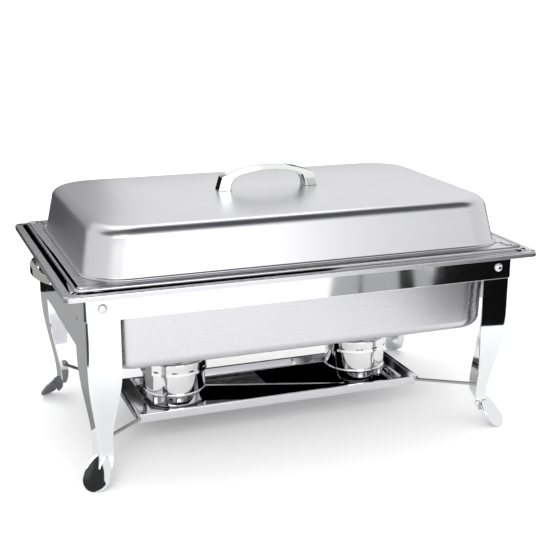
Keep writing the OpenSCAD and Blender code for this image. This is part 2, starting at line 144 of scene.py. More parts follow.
class Bench:
    """One piece being shaped in edit mode, with each loop of its vertices remembered by number."""

    CORNER_CUTS = 12

    def __init__(self, name: str) -> None:
        """Puts an empty piece of that name on the bench, open in edit mode."""
        lay_down_all()
        bpy.ops.mesh.primitive_plane_add(size=1, location=(0, 0, 0))
        self.piece = bpy.context.object
        self.piece.name = name
        self.piece.data.name = name
        bpy.ops.object.mode_set(mode="EDIT")
        bpy.ops.mesh.select_mode(type="VERT")
        bpy.ops.mesh.select_all(action="SELECT")
        bpy.ops.mesh.delete(type="VERT")
        self.loops = 0

    def _edit(self) -> tuple[bmesh.types.BMesh, bmesh.types.BMLayerItem]:
        """Returns the mesh in edit mode and the layer that numbers its loops."""
        mesh = bmesh.from_edit_mesh(self.piece.data)
        layer = mesh.verts.layers.int.get("loop") or mesh.verts.layers.int.new("loop")
        return mesh, layer

    def number(self) -> int:
        """Gives the selected vertices the next loop number, and returns it."""
        self.loops += 1
        self.mark(self.loops)
        return self.loops

    def mark(self, number: int) -> None:
        """Writes a loop number on the selected vertices."""
        mesh, layer = self._edit()
        for vertex in mesh.verts:
            if vertex.select:
                vertex[layer] = number
        bmesh.update_edit_mesh(self.piece.data)

    def pick(self, *numbers: int, where: Callable[[Vector], bool] | None = None) -> int:
        """Selects only the vertices of some loops, or those that pass a test of their place.

        Args:
            numbers: loop numbers to select; none means every loop.
            where: test of a vertex's place.

        Returns:
            How many vertices are selected.
        """
        mesh, layer = self._edit()
        for element in (*mesh.faces, *mesh.edges, *mesh.verts):
            element.select = False
        for vertex in mesh.verts:
            known = not numbers or vertex[layer] in numbers
            vertex.select = known and (where is None or where(vertex.co))
        mesh.select_flush_mode()
        bmesh.update_edit_mesh(self.piece.data)
        return sum(vertex.select for vertex in mesh.verts)

    def pick_faces(self, where: Callable[[bmesh.types.BMFace], bool]) -> int:
        """Selects only the faces that pass a test, and returns how many there are."""
        bpy.ops.mesh.select_mode(type="FACE")
        mesh, _ = self._edit()
        for element in (*mesh.faces, *mesh.edges, *mesh.verts):
            element.select = False
        for face in mesh.faces:
            if where(face):
                face.select_set(True)
        bmesh.update_edit_mesh(self.piece.data)
        return sum(face.select for face in mesh.faces)

    def by_vertex(self) -> None:
        """Goes back to picking single vertices."""
        bpy.ops.mesh.select_mode(type="VERT")

    def outline(self, ring: Ring, centre: Vector = Vector((0, 0, 0))) -> int:
        """Adds the open outline of a ring: a plane whose corners are bevelled round.

        Args:
            ring: the rounded rectangle.
            centre: shift of its middle.

        Returns:
            The new loop's number.
        """
        place = centre + Vector((0, 0, ring.height))
        bpy.ops.mesh.primitive_plane_add(size=1, location=place)
        bpy.ops.transform.resize(value=(ring.length, ring.width, 1), center_override=place)
        bpy.ops.mesh.bevel(offset=ring.corner, segments=self.CORNER_CUTS, affect="VERTICES", profile=0.5)
        made = self.number()
        bpy.ops.mesh.delete(type="ONLY_FACE")
        return made

    def press(self, rings: Sequence[Ring], cap: bool = True, closed: bool = False,
              centre: Vector = Vector((0, 0, 0))) -> list[int]:
        """Presses a shell through a row of rings by bridging each to the next.

        Args:
            rings: the stations in order.
            cap: whether the last ring is closed with a face.
            closed: whether the last ring is bridged back to the first.
            centre: shift of every ring's middle.

        Returns:
            The loops' numbers in order.
        """
        made: list[int] = []
        for ring in rings:
            made.append(self.outline(ring, centre))
            if len(made) > 1:
                self.bridge(made[-2], made[-1])
        if closed:
            self.bridge(made[-1], made[0])
        elif cap:
            self.fill(made[-1])
        return made

    def bridge(self, first: int, second: int) -> None:
        """Joins two loops with a band of faces."""
        self.pick(first, second)
        bpy.ops.mesh.bridge_edge_loops()

    def fill(self, loop: int) -> None:
        """Closes a loop with one face."""
        self.pick(loop)
        bpy.ops.mesh.edge_face_add()

    def turn(self, profile: Sequence[tuple[float, float]], centre: Vector = Vector((0, 0, 0)),
             sides: int = 72, cap_start: bool = False, cap_end: bool = False,
             closed: bool = False) -> list[int]:
        """Turns a round shape on Z: a circle pulled from each point of the profile to the next.

        Args:
            profile: radius and height of each point.
            centre: place of the turning axis.
            sides: vertices round the axis.
            cap_start: whether the first circle is filled.
            cap_end: whether the last circle is filled.
            closed: whether the last circle is bridged back to the first.

        Returns:
            The circles' loop numbers in order.
        """
        radius, height = profile[0]
        at = centre + Vector((0, 0, height))
        bpy.ops.mesh.primitive_circle_add(vertices=sides, radius=radius, location=at, fill_type="NOTHING")
        made = [self.number()]
        for next_radius, next_height in profile[1:]:
            step = (0, 0, next_height - height)
            bpy.ops.mesh.extrude_region_move(TRANSFORM_OT_translate={"value": step})
            at = centre + Vector((0, 0, next_height))
            ratio = next_radius / radius
            bpy.ops.transform.resize(value=(ratio, ratio, 1), center_override=at)
            made.append(self.number())
            radius, height = next_radius, next_height
        if closed:
            self.bridge(made[-1], made[0])
        if cap_start:
            self.fill(made[0])
        if cap_end:
            self.fill(made[-1])
        return made

    def pull(self, step: Sequence[float]) -> int:
        """Extrudes the selection by a step, and returns the new loop's number."""
        bpy.ops.mesh.extrude_region_move(TRANSFORM_OT_translate={"value": tuple(step)})
        return self.number()

    def widen(self, ratios: Sequence[float], about: Sequence[float]) -> None:
        """Scales the selection about a point."""
        bpy.ops.transform.resize(value=tuple(ratios), center_override=tuple(about))

    def shift(self, step: Sequence[float]) -> None:
        """Moves the selection."""
        bpy.ops.transform.translate(value=tuple(step))

    def mend(self) -> None:
        """Merges doubled vertices and points every face outwards."""
        self.by_vertex()
        bpy.ops.mesh.select_all(action="SELECT")
        bpy.ops.mesh.remove_doubles(threshold=0.00002)
        bpy.ops.mesh.normals_make_consistent(inside=False)

    def face_towards(self, direction: Sequence[float]) -> None:
        """Flips an open shell if its faces look, on the whole, away from a direction."""
        mesh, _ = self._edit()
        aim = Vector(direction)
        total = sum(face.normal.dot(aim) * face.calc_area() for face in mesh.faces)
        if total < 0:
            bpy.ops.mesh.select_all(action="SELECT")
            bpy.ops.mesh.flip_normals()

    def done(self) -> bpy.types.Object:
        """Mends the mesh, takes it off the bench and returns the piece."""
        self.mend()
        return self.lift_off()

    def done_open(self, facing: Sequence[float]) -> bpy.types.Object:
        """As done, for an open shell whose faces have to look a given way."""
        self.mend()
        self.face_towards(facing)
        return self.lift_off()

    def face_out(self) -> None:
        """Turns the faces of an open shell away from its middle, judged along X."""
        mesh, _ = self._edit()
        outward = sum(face.normal.x * face.calc_center_median().x for face in mesh.faces)
        if outward < 0:
            bpy.ops.mesh.flip_normals()

    def lift_off(self) -> bpy.types.Object:
        """Leaves edit mode and drops the loop numbers.

        Returns:
            The piece.
        """
        bpy.ops.object.mode_set(mode="OBJECT")
        layer = self.piece.data.attributes.get("loop")
        if layer is not None:
            self.piece.data.attributes.remove(layer)
        return self.piece


def lay_down_all() -> None:
    """Deselects every object and leaves edit mode."""
    if bpy.context.object is not None and bpy.context.object.mode != "OBJECT":
        bpy.ops.object.mode_set(mode="OBJECT")
    bpy.ops.object.select_all(action="DESELECT")


def take_up(piece: bpy.types.Object) -> None:
    """Makes a piece the only selected and the active one."""
    lay_down_all()
    piece.select_set(True)
    bpy.context.view_layer.objects.active = piece


def work(piece: bpy.types.Object, kind: str, **settings: object) -> None:
    """Adds a modifier with its settings and applies it."""
    take_up(piece)
    modifier = piece.modifiers.new(kind.lower(), kind)
    for key, value in settings.items():
        setattr(modifier, key, value)
    bpy.ops.object.modifier_apply(modifier=modifier.name)


def thicken(piece: bpy.types.Object, thickness: float, even: bool = True) -> None:
    """Gives a shell its wall, on the side away from where its faces look."""
    work(piece, "SOLIDIFY", thickness=thickness, offset=-1.0, use_even_offset=even)


def soften(piece: bpy.types.Object, width: float, cuts: int = 2, angle: float = 35.0) -> None:
    """Rounds a piece's edges that are sharper than an angle in degrees."""
    work(piece, "BEVEL", width=width, segments=cuts, limit_method="ANGLE", angle_limit=math.radians(angle),
         harden_normals=False, use_clamp_overlap=True)


def smooth(piece: bpy.types.Object, angle: float = 32.0) -> bpy.types.Object:
    """Shades a piece smooth up to an angle, with its large faces kept flat, and returns it."""
    take_up(piece)
    bpy.ops.object.shade_smooth_by_angle(angle=math.radians(angle))
    work(piece, "WEIGHTED_NORMAL", mode="FACE_AREA", weight=100, keep_sharp=True)
    return piece


def place(piece: bpy.types.Object, at: Sequence[float] = (0, 0, 0), turned: Sequence[float] = (0, 0, 0),
          scaled: Sequence[float] = (1, 1, 1)) -> bpy.types.Object:
    """Moves, turns in degrees and scales a piece, and puts the result in its mesh.

    Args:
        piece: the piece, with its mesh about the origin.
        at: where its origin goes.
        turned: turns about X, Y and Z, in degrees.
        scaled: scale along its own axes; a negative one mirrors it.

    Returns:
        The piece.
    """
    take_up(piece)
    piece.location = Vector(at)
    piece.rotation_euler = [math.radians(turn) for turn in turned]
    piece.scale = Vector(scaled)
    bpy.ops.object.transform_apply(location=True, rotation=True, scale=True)
    if scaled[0] * scaled[1] * scaled[2] < 0:
        bpy.ops.object.mode_set(mode="EDIT")
        bpy.ops.mesh.select_all(action="SELECT")
        bpy.ops.mesh.normals_make_consistent(inside=False)
        bpy.ops.object.mode_set(mode="OBJECT")
    return piece


def copied(piece: bpy.types.Object, name: str) -> bpy.types.Object:
    """Returns a copy of a piece with its own mesh."""
    take_up(piece)
    bpy.ops.object.duplicate(linked=False)
    twin = bpy.context.object
    twin.name = name
    twin.data.name = name
    return twin


def joined(name: str, pieces: Sequence[bpy.types.Object]) -> bpy.types.Object:
    """Joins pieces into the first one, under a name, and returns it."""
    lay_down_all()
    for piece in pieces:
        piece.select_set(True)
    bpy.context.view_layer.objects.active = pieces[0]
    if len(pieces) > 1:
        bpy.ops.object.join()
    pieces[0].name = name
    pieces[0].data.name = name
    return pieces[0]


def bored(piece: bpy.types.Object, radius: float, at: Sequence[float], turned: Sequence[float],
          depth: float = 0.02) -> None:
    """Drills a round hole through a piece."""
    lay_down_all()
    bpy.ops.mesh.primitive_cylinder_add(vertices=32, radius=radius, depth=depth, location=tuple(at),
                                        rotation=[math.radians(turn) for turn in turned])
    drill = bpy.context.object
    work(piece, "BOOLEAN", operation="DIFFERENCE", solver="EXACT", object=drill)
    bpy.data.objects.remove(drill)


def drawn_bar(name: str, route: Sequence[Sequence[float]], radius: float, bend: float, facets: int = 6,
              oval: float = 1.0) -> bpy.types.Object:
    """Draws a round bar along a route with rounded bends.

    Args:
        name: the piece's name.
        route: corner points from end to end.
        radius: radius of the bar.
        bend: radius of each bend.
        facets: fineness of its section.
        oval: how much higher than wide the section is.

    Returns:
        The bar as a mesh.
    """
    points = rounded_route([Vector(point) for point in route], bend)
    lay_down_all()
    curve = bpy.data.curves.new(name, "CURVE")
    curve.dimensions = "3D"
    spline = curve.splines.new("POLY")
    spline.points.add(len(points) - 1)
    for target, point in zip(spline.points, points):
        target.co = (*point, 1)
    curve.bevel_depth = radius
    curve.bevel_resolution = facets
    curve.use_fill_caps = True
    bar = bpy.data.objects.new(name, curve)
    bpy.context.scene.collection.objects.link(bar)
    take_up(bar)
    bpy.ops.object.convert(target="MESH")
    bar = bpy.context.object
    if oval != 1.0:
        height = points[0].z
        place(bar, at=(0, 0, height * (1 - oval)), scaled=(1, 1, oval))
    return bar


def rounded_route(corners: Sequence[Vector], bend: float, cuts: int = 8) -> list[Vector]:
    """Returns a route whose inner corners are replaced by arcs of a bend radius."""
    points = [corners[0]]
    for before, corner, after in zip(corners, corners[1:], corners[2:]):
        back = (before - corner).normalized()
        ahead = (after - corner).normalized()
        half = back.angle(ahead) / 2
        if half > math.radians(88):
            points.append(corner)
            continue
        reach = bend / math.tan(half)
        middle = corner + (back + ahead).normalized() * (bend / math.sin(half))
        start = corner + back * reach - middle
        sweep = math.pi - 2 * half
        axis = back.cross(ahead)
        for cut in range(cuts + 1):
            points.append(middle + Matrix.Rotation(-sweep * cut / cuts, 3, axis) @ start)
    points.append(corners[-1])
    return points


# ---- finishes ----


class NodePad:
    """Short hand for wiring one node tree."""

    def __init__(self, tree: bpy.types.NodeTree) -> None:
        """Starts on an existing tree."""
        self.tree = tree

    def add(self, kind: str, inputs: dict[str | int, object] | None = None,
            **settings: object) -> bpy.types.Node:
        """Adds a node.

        Args:
            kind: the node's type name.
            inputs: values of its sockets, or sockets to link to them.
            settings: its own properties.

        Returns:
            The node.
        """
        node = self.tree.nodes.new(kind)
        for key, value in settings.items():
            setattr(node, key, value)
        for key, value in (inputs or {}).items():
            if isinstance(value, bpy.types.NodeSocket):
                self.tree.links.new(value, node.inputs[key])
            else:
                node.inputs[key].default_value = value
        return node

    def math(self, operation: str, first: object, second: object) -> bpy.types.NodeSocket:
        """Adds a Math node and returns its output."""
        return self.add("ShaderNodeMath", {0: first, 1: second}, operation=operation).outputs[0]

    def span(self, value: object, low: float, high: float, to_low: float,
             to_high: float) -> bpy.types.NodeSocket:
        """Adds a clamped Map Range node and returns its output."""
        node = self.add("ShaderNodeMapRange", {"Value": value, "From Min": low, "From Max": high,
                                               "To Min": to_low, "To Max": to_high})
        return node.outputs["Result"]

    def group(self, tree: bpy.types.NodeTree, **inputs: object) -> bpy.types.Node:
        """Places a shared effect with its own values."""
        node = self.add("ShaderNodeGroup", node_tree=tree)
        for key, value in inputs.items():
            socket = node.inputs[key.replace("_", " ").title()]
            if isinstance(value, bpy.types.NodeSocket):
                self.tree.links.new(value, socket)
            else:
                socket.default_value = value
        return node


class Effects:
    """Shared surface effects, each a node group built once."""

    def __init__(self) -> None:
        """Builds every group."""
        self.grain = self._grain()
        self.wear = self._wear()
        self.smudge = self._smudge()
        self.wave = self._wave()

    @staticmethod
    def _new(name: str, inputs: dict[str, tuple[str, object]], outputs: dict[str, str]) -> tuple[
            bpy.types.NodeTree, NodePad, bpy.types.Node, bpy.types.Node]:
        """Makes an empty group with named sockets.

        Args:
            name: the group's name.
            inputs: socket type and starting value by name.
            outputs: socket type by name.

        Returns:
            The tree, a pad on it, and its input and output nodes.
        """
        tree = bpy.data.node_groups.new(name, "ShaderNodeTree")
        for label, (kind, start) in inputs.items():
            tree.interface.new_socket(label, in_out="INPUT", socket_type=kind).default_value = start
        for label, kind in outputs.items():
            tree.interface.new_socket(label, in_out="OUTPUT", socket_type=kind)
        pad = NodePad(tree)
        return tree, pad, pad.add("NodeGroupInput"), pad.add("NodeGroupOutput")

    def _grain(self) -> bpy.types.NodeTree:
        """Polishing or brushing lines stretched along a direction."""
        number = "NodeSocketFloat"
        tree, pad, given, result = self._new(
            "polishing grain",
            {"Stretch": ("NodeSocketVector", (1.0, 1.0, 1.0)), "Scale": (number, 600.0),
             "Contrast": (number, 0.2)},
            {"Shade": number, "Height": number})
        spot = pad.add("ShaderNodeTexCoord").outputs["Object"]
        stretched = pad.add("ShaderNodeVectorMath", {0: spot, 1: given.outputs["Stretch"]},
                            operation="MULTIPLY")
        fine = pad.add("ShaderNodeTexNoise", {"Vector": stretched.outputs[0], "Scale": given.outputs["Scale"],
                                              "Detail": 3.0, "Roughness": 0.62})
        coarse_scale = pad.math("MULTIPLY", given.outputs["Scale"], 0.14)
        coarse = pad.add("ShaderNodeTexNoise", {"Vector": stretched.outputs[0], "Scale": coarse_scale,
                                                "Detail": 2.0})
        lines = pad.math("MULTIPLY", fine.outputs["Fac"], 0.65)
        bands = pad.math("MULTIPLY", coarse.outputs["Fac"], 0.35)
        both = pad.math("ADD", lines, bands)
        offset = pad.math("SUBTRACT", both, 0.5)
        scaled = pad.math("MULTIPLY", offset, given.outputs["Contrast"])
        tree.links.new(pad.math("ADD", scaled, 1.0), result.inputs["Shade"])
        tree.links.new(both, result.inputs["Height"])
        return tree

    def _wear(self) -> bpy.types.NodeTree:
        """Mask of rubbed edges, broken up by a fine noise."""
        number = "NodeSocketFloat"
        tree, pad, given, result = self._new(
            "rubbed edges", {"Amount": (number, 0.5), "Scale": (number, 90.0)}, {"Mask": number})
        bend = pad.add("ShaderNodeNewGeometry").outputs["Pointiness"]
        edge = pad.span(bend, 0.52, 0.60, 0.0, 1.0)
        spot = pad.add("ShaderNodeTexCoord").outputs["Object"]
        noise = pad.add("ShaderNodeTexNoise",
                        {"Vector": spot, "Scale": given.outputs["Scale"], "Detail": 4.0})
        broken = pad.span(noise.outputs["Fac"], 0.35, 0.65, 0.3, 1.0)
        mask = pad.math("MULTIPLY", edge, broken)
        tree.links.new(pad.math("MULTIPLY", mask, given.outputs["Amount"]), result.inputs["Mask"])
        return tree

    def _smudge(self) -> bpy.types.NodeTree:
        """Mask of faint wiping marks and handled patches."""
        number = "NodeSocketFloat"
        tree, pad, given, result = self._new(
            "wiping marks", {"Amount": (number, 0.3), "Scale": (number, 9.0)}, {"Mask": number})
        spot = pad.add("ShaderNodeTexCoord").outputs["Object"]
        patches = pad.add("ShaderNodeTexNoise", {"Vector": spot, "Scale": given.outputs["Scale"],
                                                 "Detail": 5.0,
                                                 "Roughness": 0.6, "Distortion": 1.2})
        soft = pad.span(patches.outputs["Fac"], 0.42, 0.72, 0.0, 1.0)
        tree.links.new(pad.math("MULTIPLY", soft, given.outputs["Amount"]), result.inputs["Mask"])
        return tree

    def _wave(self) -> bpy.types.NodeTree:
        """Height of the slow waves that pressing leaves in thin sheet."""
        number = "NodeSocketFloat"
        tree, pad, given, result = self._new("sheet waves", {"Scale": (number, 7.0)}, {"Height": number})
        spot = pad.add("ShaderNodeTexCoord").outputs["Object"]
        slow = pad.add("ShaderNodeTexNoise", {"Vector": spot, "Scale": given.outputs["Scale"], "Detail": 1.0})
        tree.links.new(slow.outputs["Fac"], result.inputs["Height"])
        return tree


class Lay(Enum):
    """Which way a surface was polished or brushed, as the stretch of its grain."""

    ALONG = (0.02, 1.0, 1.0)
    UPRIGHT = (1.0, 1.0, 0.02)
    ALL_ROUND = (1.0, 1.0, 1.0)
    HOOPED = (0.25, 0.25, 1.0)


@dataclass(frozen=True)
class SteelFinish:
    """A steel or chrome finish: colour, polish, grain, waves, rubbed edges and wiping marks."""

    slot: str
    colour: Colour
    roughness: float
    lay: Lay = Lay.ALL_ROUND
    grain_scale: float = 700.0
    grain_contrast: float = 0.1
    grain_depth: float = 0.0
    wave_depth: float = 0.0
    wave_scale: float = 7.0
    roughness_spread: float = 0.05
    smudge: float = 0.2
    wear: float = 0.3

    def make(self, effects: Effects) -> bpy.types.Material:
        """Builds the material and returns it."""
        material = bpy.data.materials.new(self.slot)
        material.use_nodes = True
        pad = NodePad(material.node_tree)
        shader = material.node_tree.nodes["Principled BSDF"]
        shader.inputs["Metallic"].default_value = 1.0
        grain = pad.group(effects.grain, stretch=self.lay.value, scale=self.grain_scale,
                          contrast=self.grain_contrast)
        smudge = pad.group(effects.smudge, amount=self.smudge).outputs["Mask"]
        wear = pad.group(effects.wear, amount=self.wear).outputs["Mask"]
        lightness = pad.math("SUBTRACT", grain.outputs["Shade"], pad.math("MULTIPLY", smudge, 0.08))
        base = pad.add("ShaderNodeVectorMath", {0: self.colour, "Scale": lightness}, operation="SCALE")
        brighter = tuple(min(1.0, channel * 1.12) for channel in self.colour)
        mix = pad.add("ShaderNodeMix", data_type="RGBA")
        material.node_tree.links.new(wear, mix.inputs["Factor"])
        material.node_tree.links.new(base.outputs[0], mix.inputs[6])
        mix.inputs[7].default_value = (*brighter, 1.0)
        material.node_tree.links.new(mix.outputs[2], shader.inputs["Base Color"])
        spread = pad.math("MULTIPLY", pad.math("SUBTRACT", grain.outputs["Height"], 0.5),
                          self.roughness_spread)
        marked = pad.math("ADD", spread, pad.math("MULTIPLY", smudge, 0.12))
        rough = pad.math("ADD", pad.math("ADD", marked, pad.math("MULTIPLY", wear, 0.08)), self.roughness)
        material.node_tree.links.new(rough, shader.inputs["Roughness"])
        self._surface(pad, effects, grain, shader)
        return material

    def _surface(self, pad: NodePad, effects: Effects, grain: bpy.types.Node, shader: bpy.types.Node) -> None:
        """Adds the bumps of the sheet's waves and of its grain."""
        normal = None
        if self.wave_depth:
            wave = pad.group(effects.wave, scale=self.wave_scale).outputs["Height"]
            bump = pad.add("ShaderNodeBump", {"Height": wave, "Distance": self.wave_depth, "Strength": 1.0})
            normal = bump.outputs["Normal"]
        if self.grain_depth:
            bump = pad.add("ShaderNodeBump", {"Height": grain.outputs["Height"], "Distance": self.grain_depth,
                                              "Strength": 1.0})
            if normal is not None:
                pad.tree.links.new(normal, bump.inputs["Normal"])
            normal = bump.outputs["Normal"]
        if normal is not None:
            pad.tree.links.new(normal, shader.inputs["Normal"])


@dataclass(frozen=True)
class WickFinish:
    """Twisted cotton of the fuel tin's wick."""

    slot: str = "wick"
    colour: Colour = (0.78, 0.72, 0.6)
    singed: Colour = (0.12, 0.1, 0.09)

    def make(self, effects: Effects) -> bpy.types.Material:
        """Builds the material and returns it."""
        material = bpy.data.materials.new(self.slot)
        material.use_nodes = True
        pad = NodePad(material.node_tree)
        shader = material.node_tree.nodes["Principled BSDF"]
        shader.inputs["Sheen Weight"].default_value = 0.4
        grain = pad.group(effects.grain, stretch=Lay.UPRIGHT.value, scale=1800.0, contrast=0.8)
        spot = pad.add("ShaderNodeTexCoord").outputs["Object"]
        height = pad.add("ShaderNodeSeparateXYZ", {0: spot}).outputs["Z"]
        wick = Box.of("left_wick")
        burnt = pad.span(height, wick.high.z - 0.004, wick.high.z, 0.0, 1.0)
        mix = pad.add("ShaderNodeMix", data_type="RGBA")
        pad.tree.links.new(burnt, mix.inputs["Factor"])
        mix.inputs[6].default_value = (*self.colour, 1.0)
        mix.inputs[7].default_value = (*self.singed, 1.0)
        tint = pad.add("ShaderNodeVectorMath", {0: mix.outputs[2], "Scale": grain.outputs["Shade"]},
                       operation="SCALE")
        pad.tree.links.new(tint.outputs[0], shader.inputs["Base Color"])
        pad.tree.links.new(pad.span(grain.outputs["Height"], 0.3, 0.7, 0.75, 0.95),
                           shader.inputs["Roughness"])
        bump = pad.add("ShaderNodeBump", {"Height": grain.outputs["Height"], "Distance": 0.0008})
        pad.tree.links.new(bump.outputs["Normal"], shader.inputs["Normal"])
        return material


class FinishRack:
    """Every finish of the dish, made once and handed out by slot."""

    STEELS = (
        SteelFinish("mirror_steel", (0.70, 0.705, 0.72), 0.045, wave_depth=0.0006, wave_scale=6.0,
                    roughness_spread=0.03, smudge=0.12, wear=0.3, grain_contrast=0.03),
        SteelFinish("satin_steel", (0.56, 0.555, 0.575), 0.27, lay=Lay.ALONG, grain_scale=900.0,
                    grain_contrast=0.05, grain_depth=0.000006, wave_depth=0.0006, wave_scale=4.0,
                    roughness_spread=0.08, smudge=0.15),
        SteelFinish("satin_lid", (0.54, 0.54, 0.56), 0.29, lay=Lay.ALONG, grain_scale=900.0,
                    grain_contrast=0.05, grain_depth=0.000006, wave_depth=0.0005, wave_scale=3.0,
                    roughness_spread=0.08, smudge=0.15),
        SteelFinish("cast_chrome", (0.74, 0.755, 0.73), 0.06, grain_scale=300.0, grain_contrast=0.04,
                    wave_depth=0.0004, wave_scale=30.0, roughness_spread=0.03, smudge=0.2, wear=0.5),
        SteelFinish("rivet_steel", (0.66, 0.66, 0.66), 0.12, grain_scale=500.0, grain_contrast=0.08,
                    wave_depth=0.0002, wave_scale=120.0, smudge=0.2, wear=0.4),
        SteelFinish("wire_steel", (0.42, 0.41, 0.41), 0.22, grain_scale=800.0, grain_contrast=0.15,
                    wave_depth=0.0003, wave_scale=60.0, smudge=0.3, wear=0.3),
        SteelFinish("tray_steel", (0.66, 0.655, 0.67), 0.09, lay=Lay.ALONG, grain_scale=700.0,
                    grain_contrast=0.06, wave_depth=0.0004, wave_scale=9.0, smudge=0.2),
        SteelFinish("holder_steel", (0.70, 0.70, 0.70), 0.06, lay=Lay.HOOPED, grain_scale=500.0,
                    grain_contrast=0.05, wave_depth=0.0002, wave_scale=22.0, smudge=0.15),
        SteelFinish("tin", (0.58, 0.6, 0.66), 0.25, lay=Lay.HOOPED, grain_scale=600.0, grain_contrast=0.15,
                    grain_depth=0.00003, smudge=0.4),
    )

    def __init__(self) -> None:
        """Makes the shared effects and every material."""
        effects = Effects()
        self._made = {finish.slot: finish.make(effects) for finish in (*self.STEELS, WickFinish())}

    def __getitem__(self, slot: str) -> bpy.types.Material:
        """Returns the material of a slot."""
        return self._made[slot]


# ---- sub-assemblies ----


@dataclass(frozen=True)
class CastBow:
    """A cast handle bow standing on XY and arching in XZ: broad facets outside, a narrow one inside."""

    half: float
    rise: float
    depth: float
    edge: float = 0.84
    inner_edge: float = 0.62
    ridge_at: float = 0.84
    round_off: float = 0.0005

    OUTSIDE = ((-1.0, 0.0), (-0.97, 0.22), (-0.92, 0.57), (-0.75, 0.72), (-0.587, 0.83), (-0.4, 0.92),
               (-0.222, 0.985), (-0.07, 1.0))
    INSIDE = ((-0.73, 0.0), (-0.715, 0.25), (-0.66, 0.48), (-0.57, 0.61), (-0.46, 0.68), (-0.32, 0.73),
              (-0.17, 0.755), (-0.05, 0.76))

    def sections(self) -> list[tuple[Vector, Vector, Vector]]:
        """Returns each section's outer edge, ridge and inner edge, from the left foot to the right."""
        rows = []
        for outer, inner in zip(self.OUTSIDE, self.INSIDE):
            out = Vector((outer[0] * self.half, 0, outer[1] * self.rise))
            into = Vector((inner[0] * self.half, 0, inner[1] * self.rise))
            rows.append((out, out.lerp(into, self.ridge_at), into))
        mirror = Matrix.Scale(-1, 3, Vector((1, 0, 0)))
        return rows + [tuple(mirror @ point for point in row) for row in reversed(rows)]

    def build(self) -> bpy.types.Object:
        """Pulls the section's three pairs of edges from foot to foot, bridges them, and returns the bow."""
        bench = Bench("bow")
        rails = []
        for pair, share in enumerate((self.edge, 1.0, self.inner_edge)):
            for side in (-1, 1):
                rails.append(self.rail(bench, pair, side * share * self.depth))
        around = (rails[0], rails[2], rails[4], rails[5], rails[3], rails[1])
        for first, second in zip(around, (*around[1:], around[0])):
            bench.bridge(first, second)
        for foot in (-1, 1):
            bench.pick(where=lambda spot, way=foot: spot.z < 0.000001 and spot.x * way > 0)
            bpy.ops.mesh.edge_face_add()
        bow = bench.done()
        soften(bow, self.round_off, 2, 18)
        return smooth(bow, 30)

    def rail(self, bench: Bench, pair: int, across: float) -> int:
        """Draws one long edge of the bow, vertex by vertex, and returns its loop number."""
        here: Vector | None = None
        number = bench.loops + 1
        for section in self.sections():
            goal = section[pair] + Vector((0, across, 0))
            if here is None:
                bpy.ops.mesh.select_all(action="DESELECT")
                bpy.ops.mesh.primitive_circle_add(vertices=3, radius=0.001, location=goal,
                                                  fill_type="NOTHING")
                bpy.ops.mesh.merge(type="CENTER")
            else:
                bpy.ops.mesh.extrude_vertices_move(TRANSFORM_OT_translate={"value": tuple(goal - here)})
            bench.mark(number)
            here = goal
        bench.loops = number
        return number


@dataclass
class Assembly:
    """What every sub-assembly shares: it finishes its pieces and hands them to the frame."""

    finishes: FinishRack

    def hand_over(self, piece: bpy.types.Object, body: str, node: str, slot: str) -> None:
        """Gives a finished piece its material, its body and the node that it stands for."""
        piece.name = f"{node}_shell"
        piece.data.name = piece.name
        piece.data.materials.clear()
        piece.data.materials.append(self.finishes[slot])
        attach(piece, body)
        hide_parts(node)
        log.info("%s rides on %s in %s, %d faces", piece.name, body, slot, len(piece.data.polygons))

    def dress(self, node: str, slot: str) -> None:
        """Gives a node of the frame its finish."""
        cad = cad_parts[node]
        cad.data.materials.clear()
        cad.data.materials.append(self.finishes[slot])
        log.info("%s is dressed in %s", node, slot)


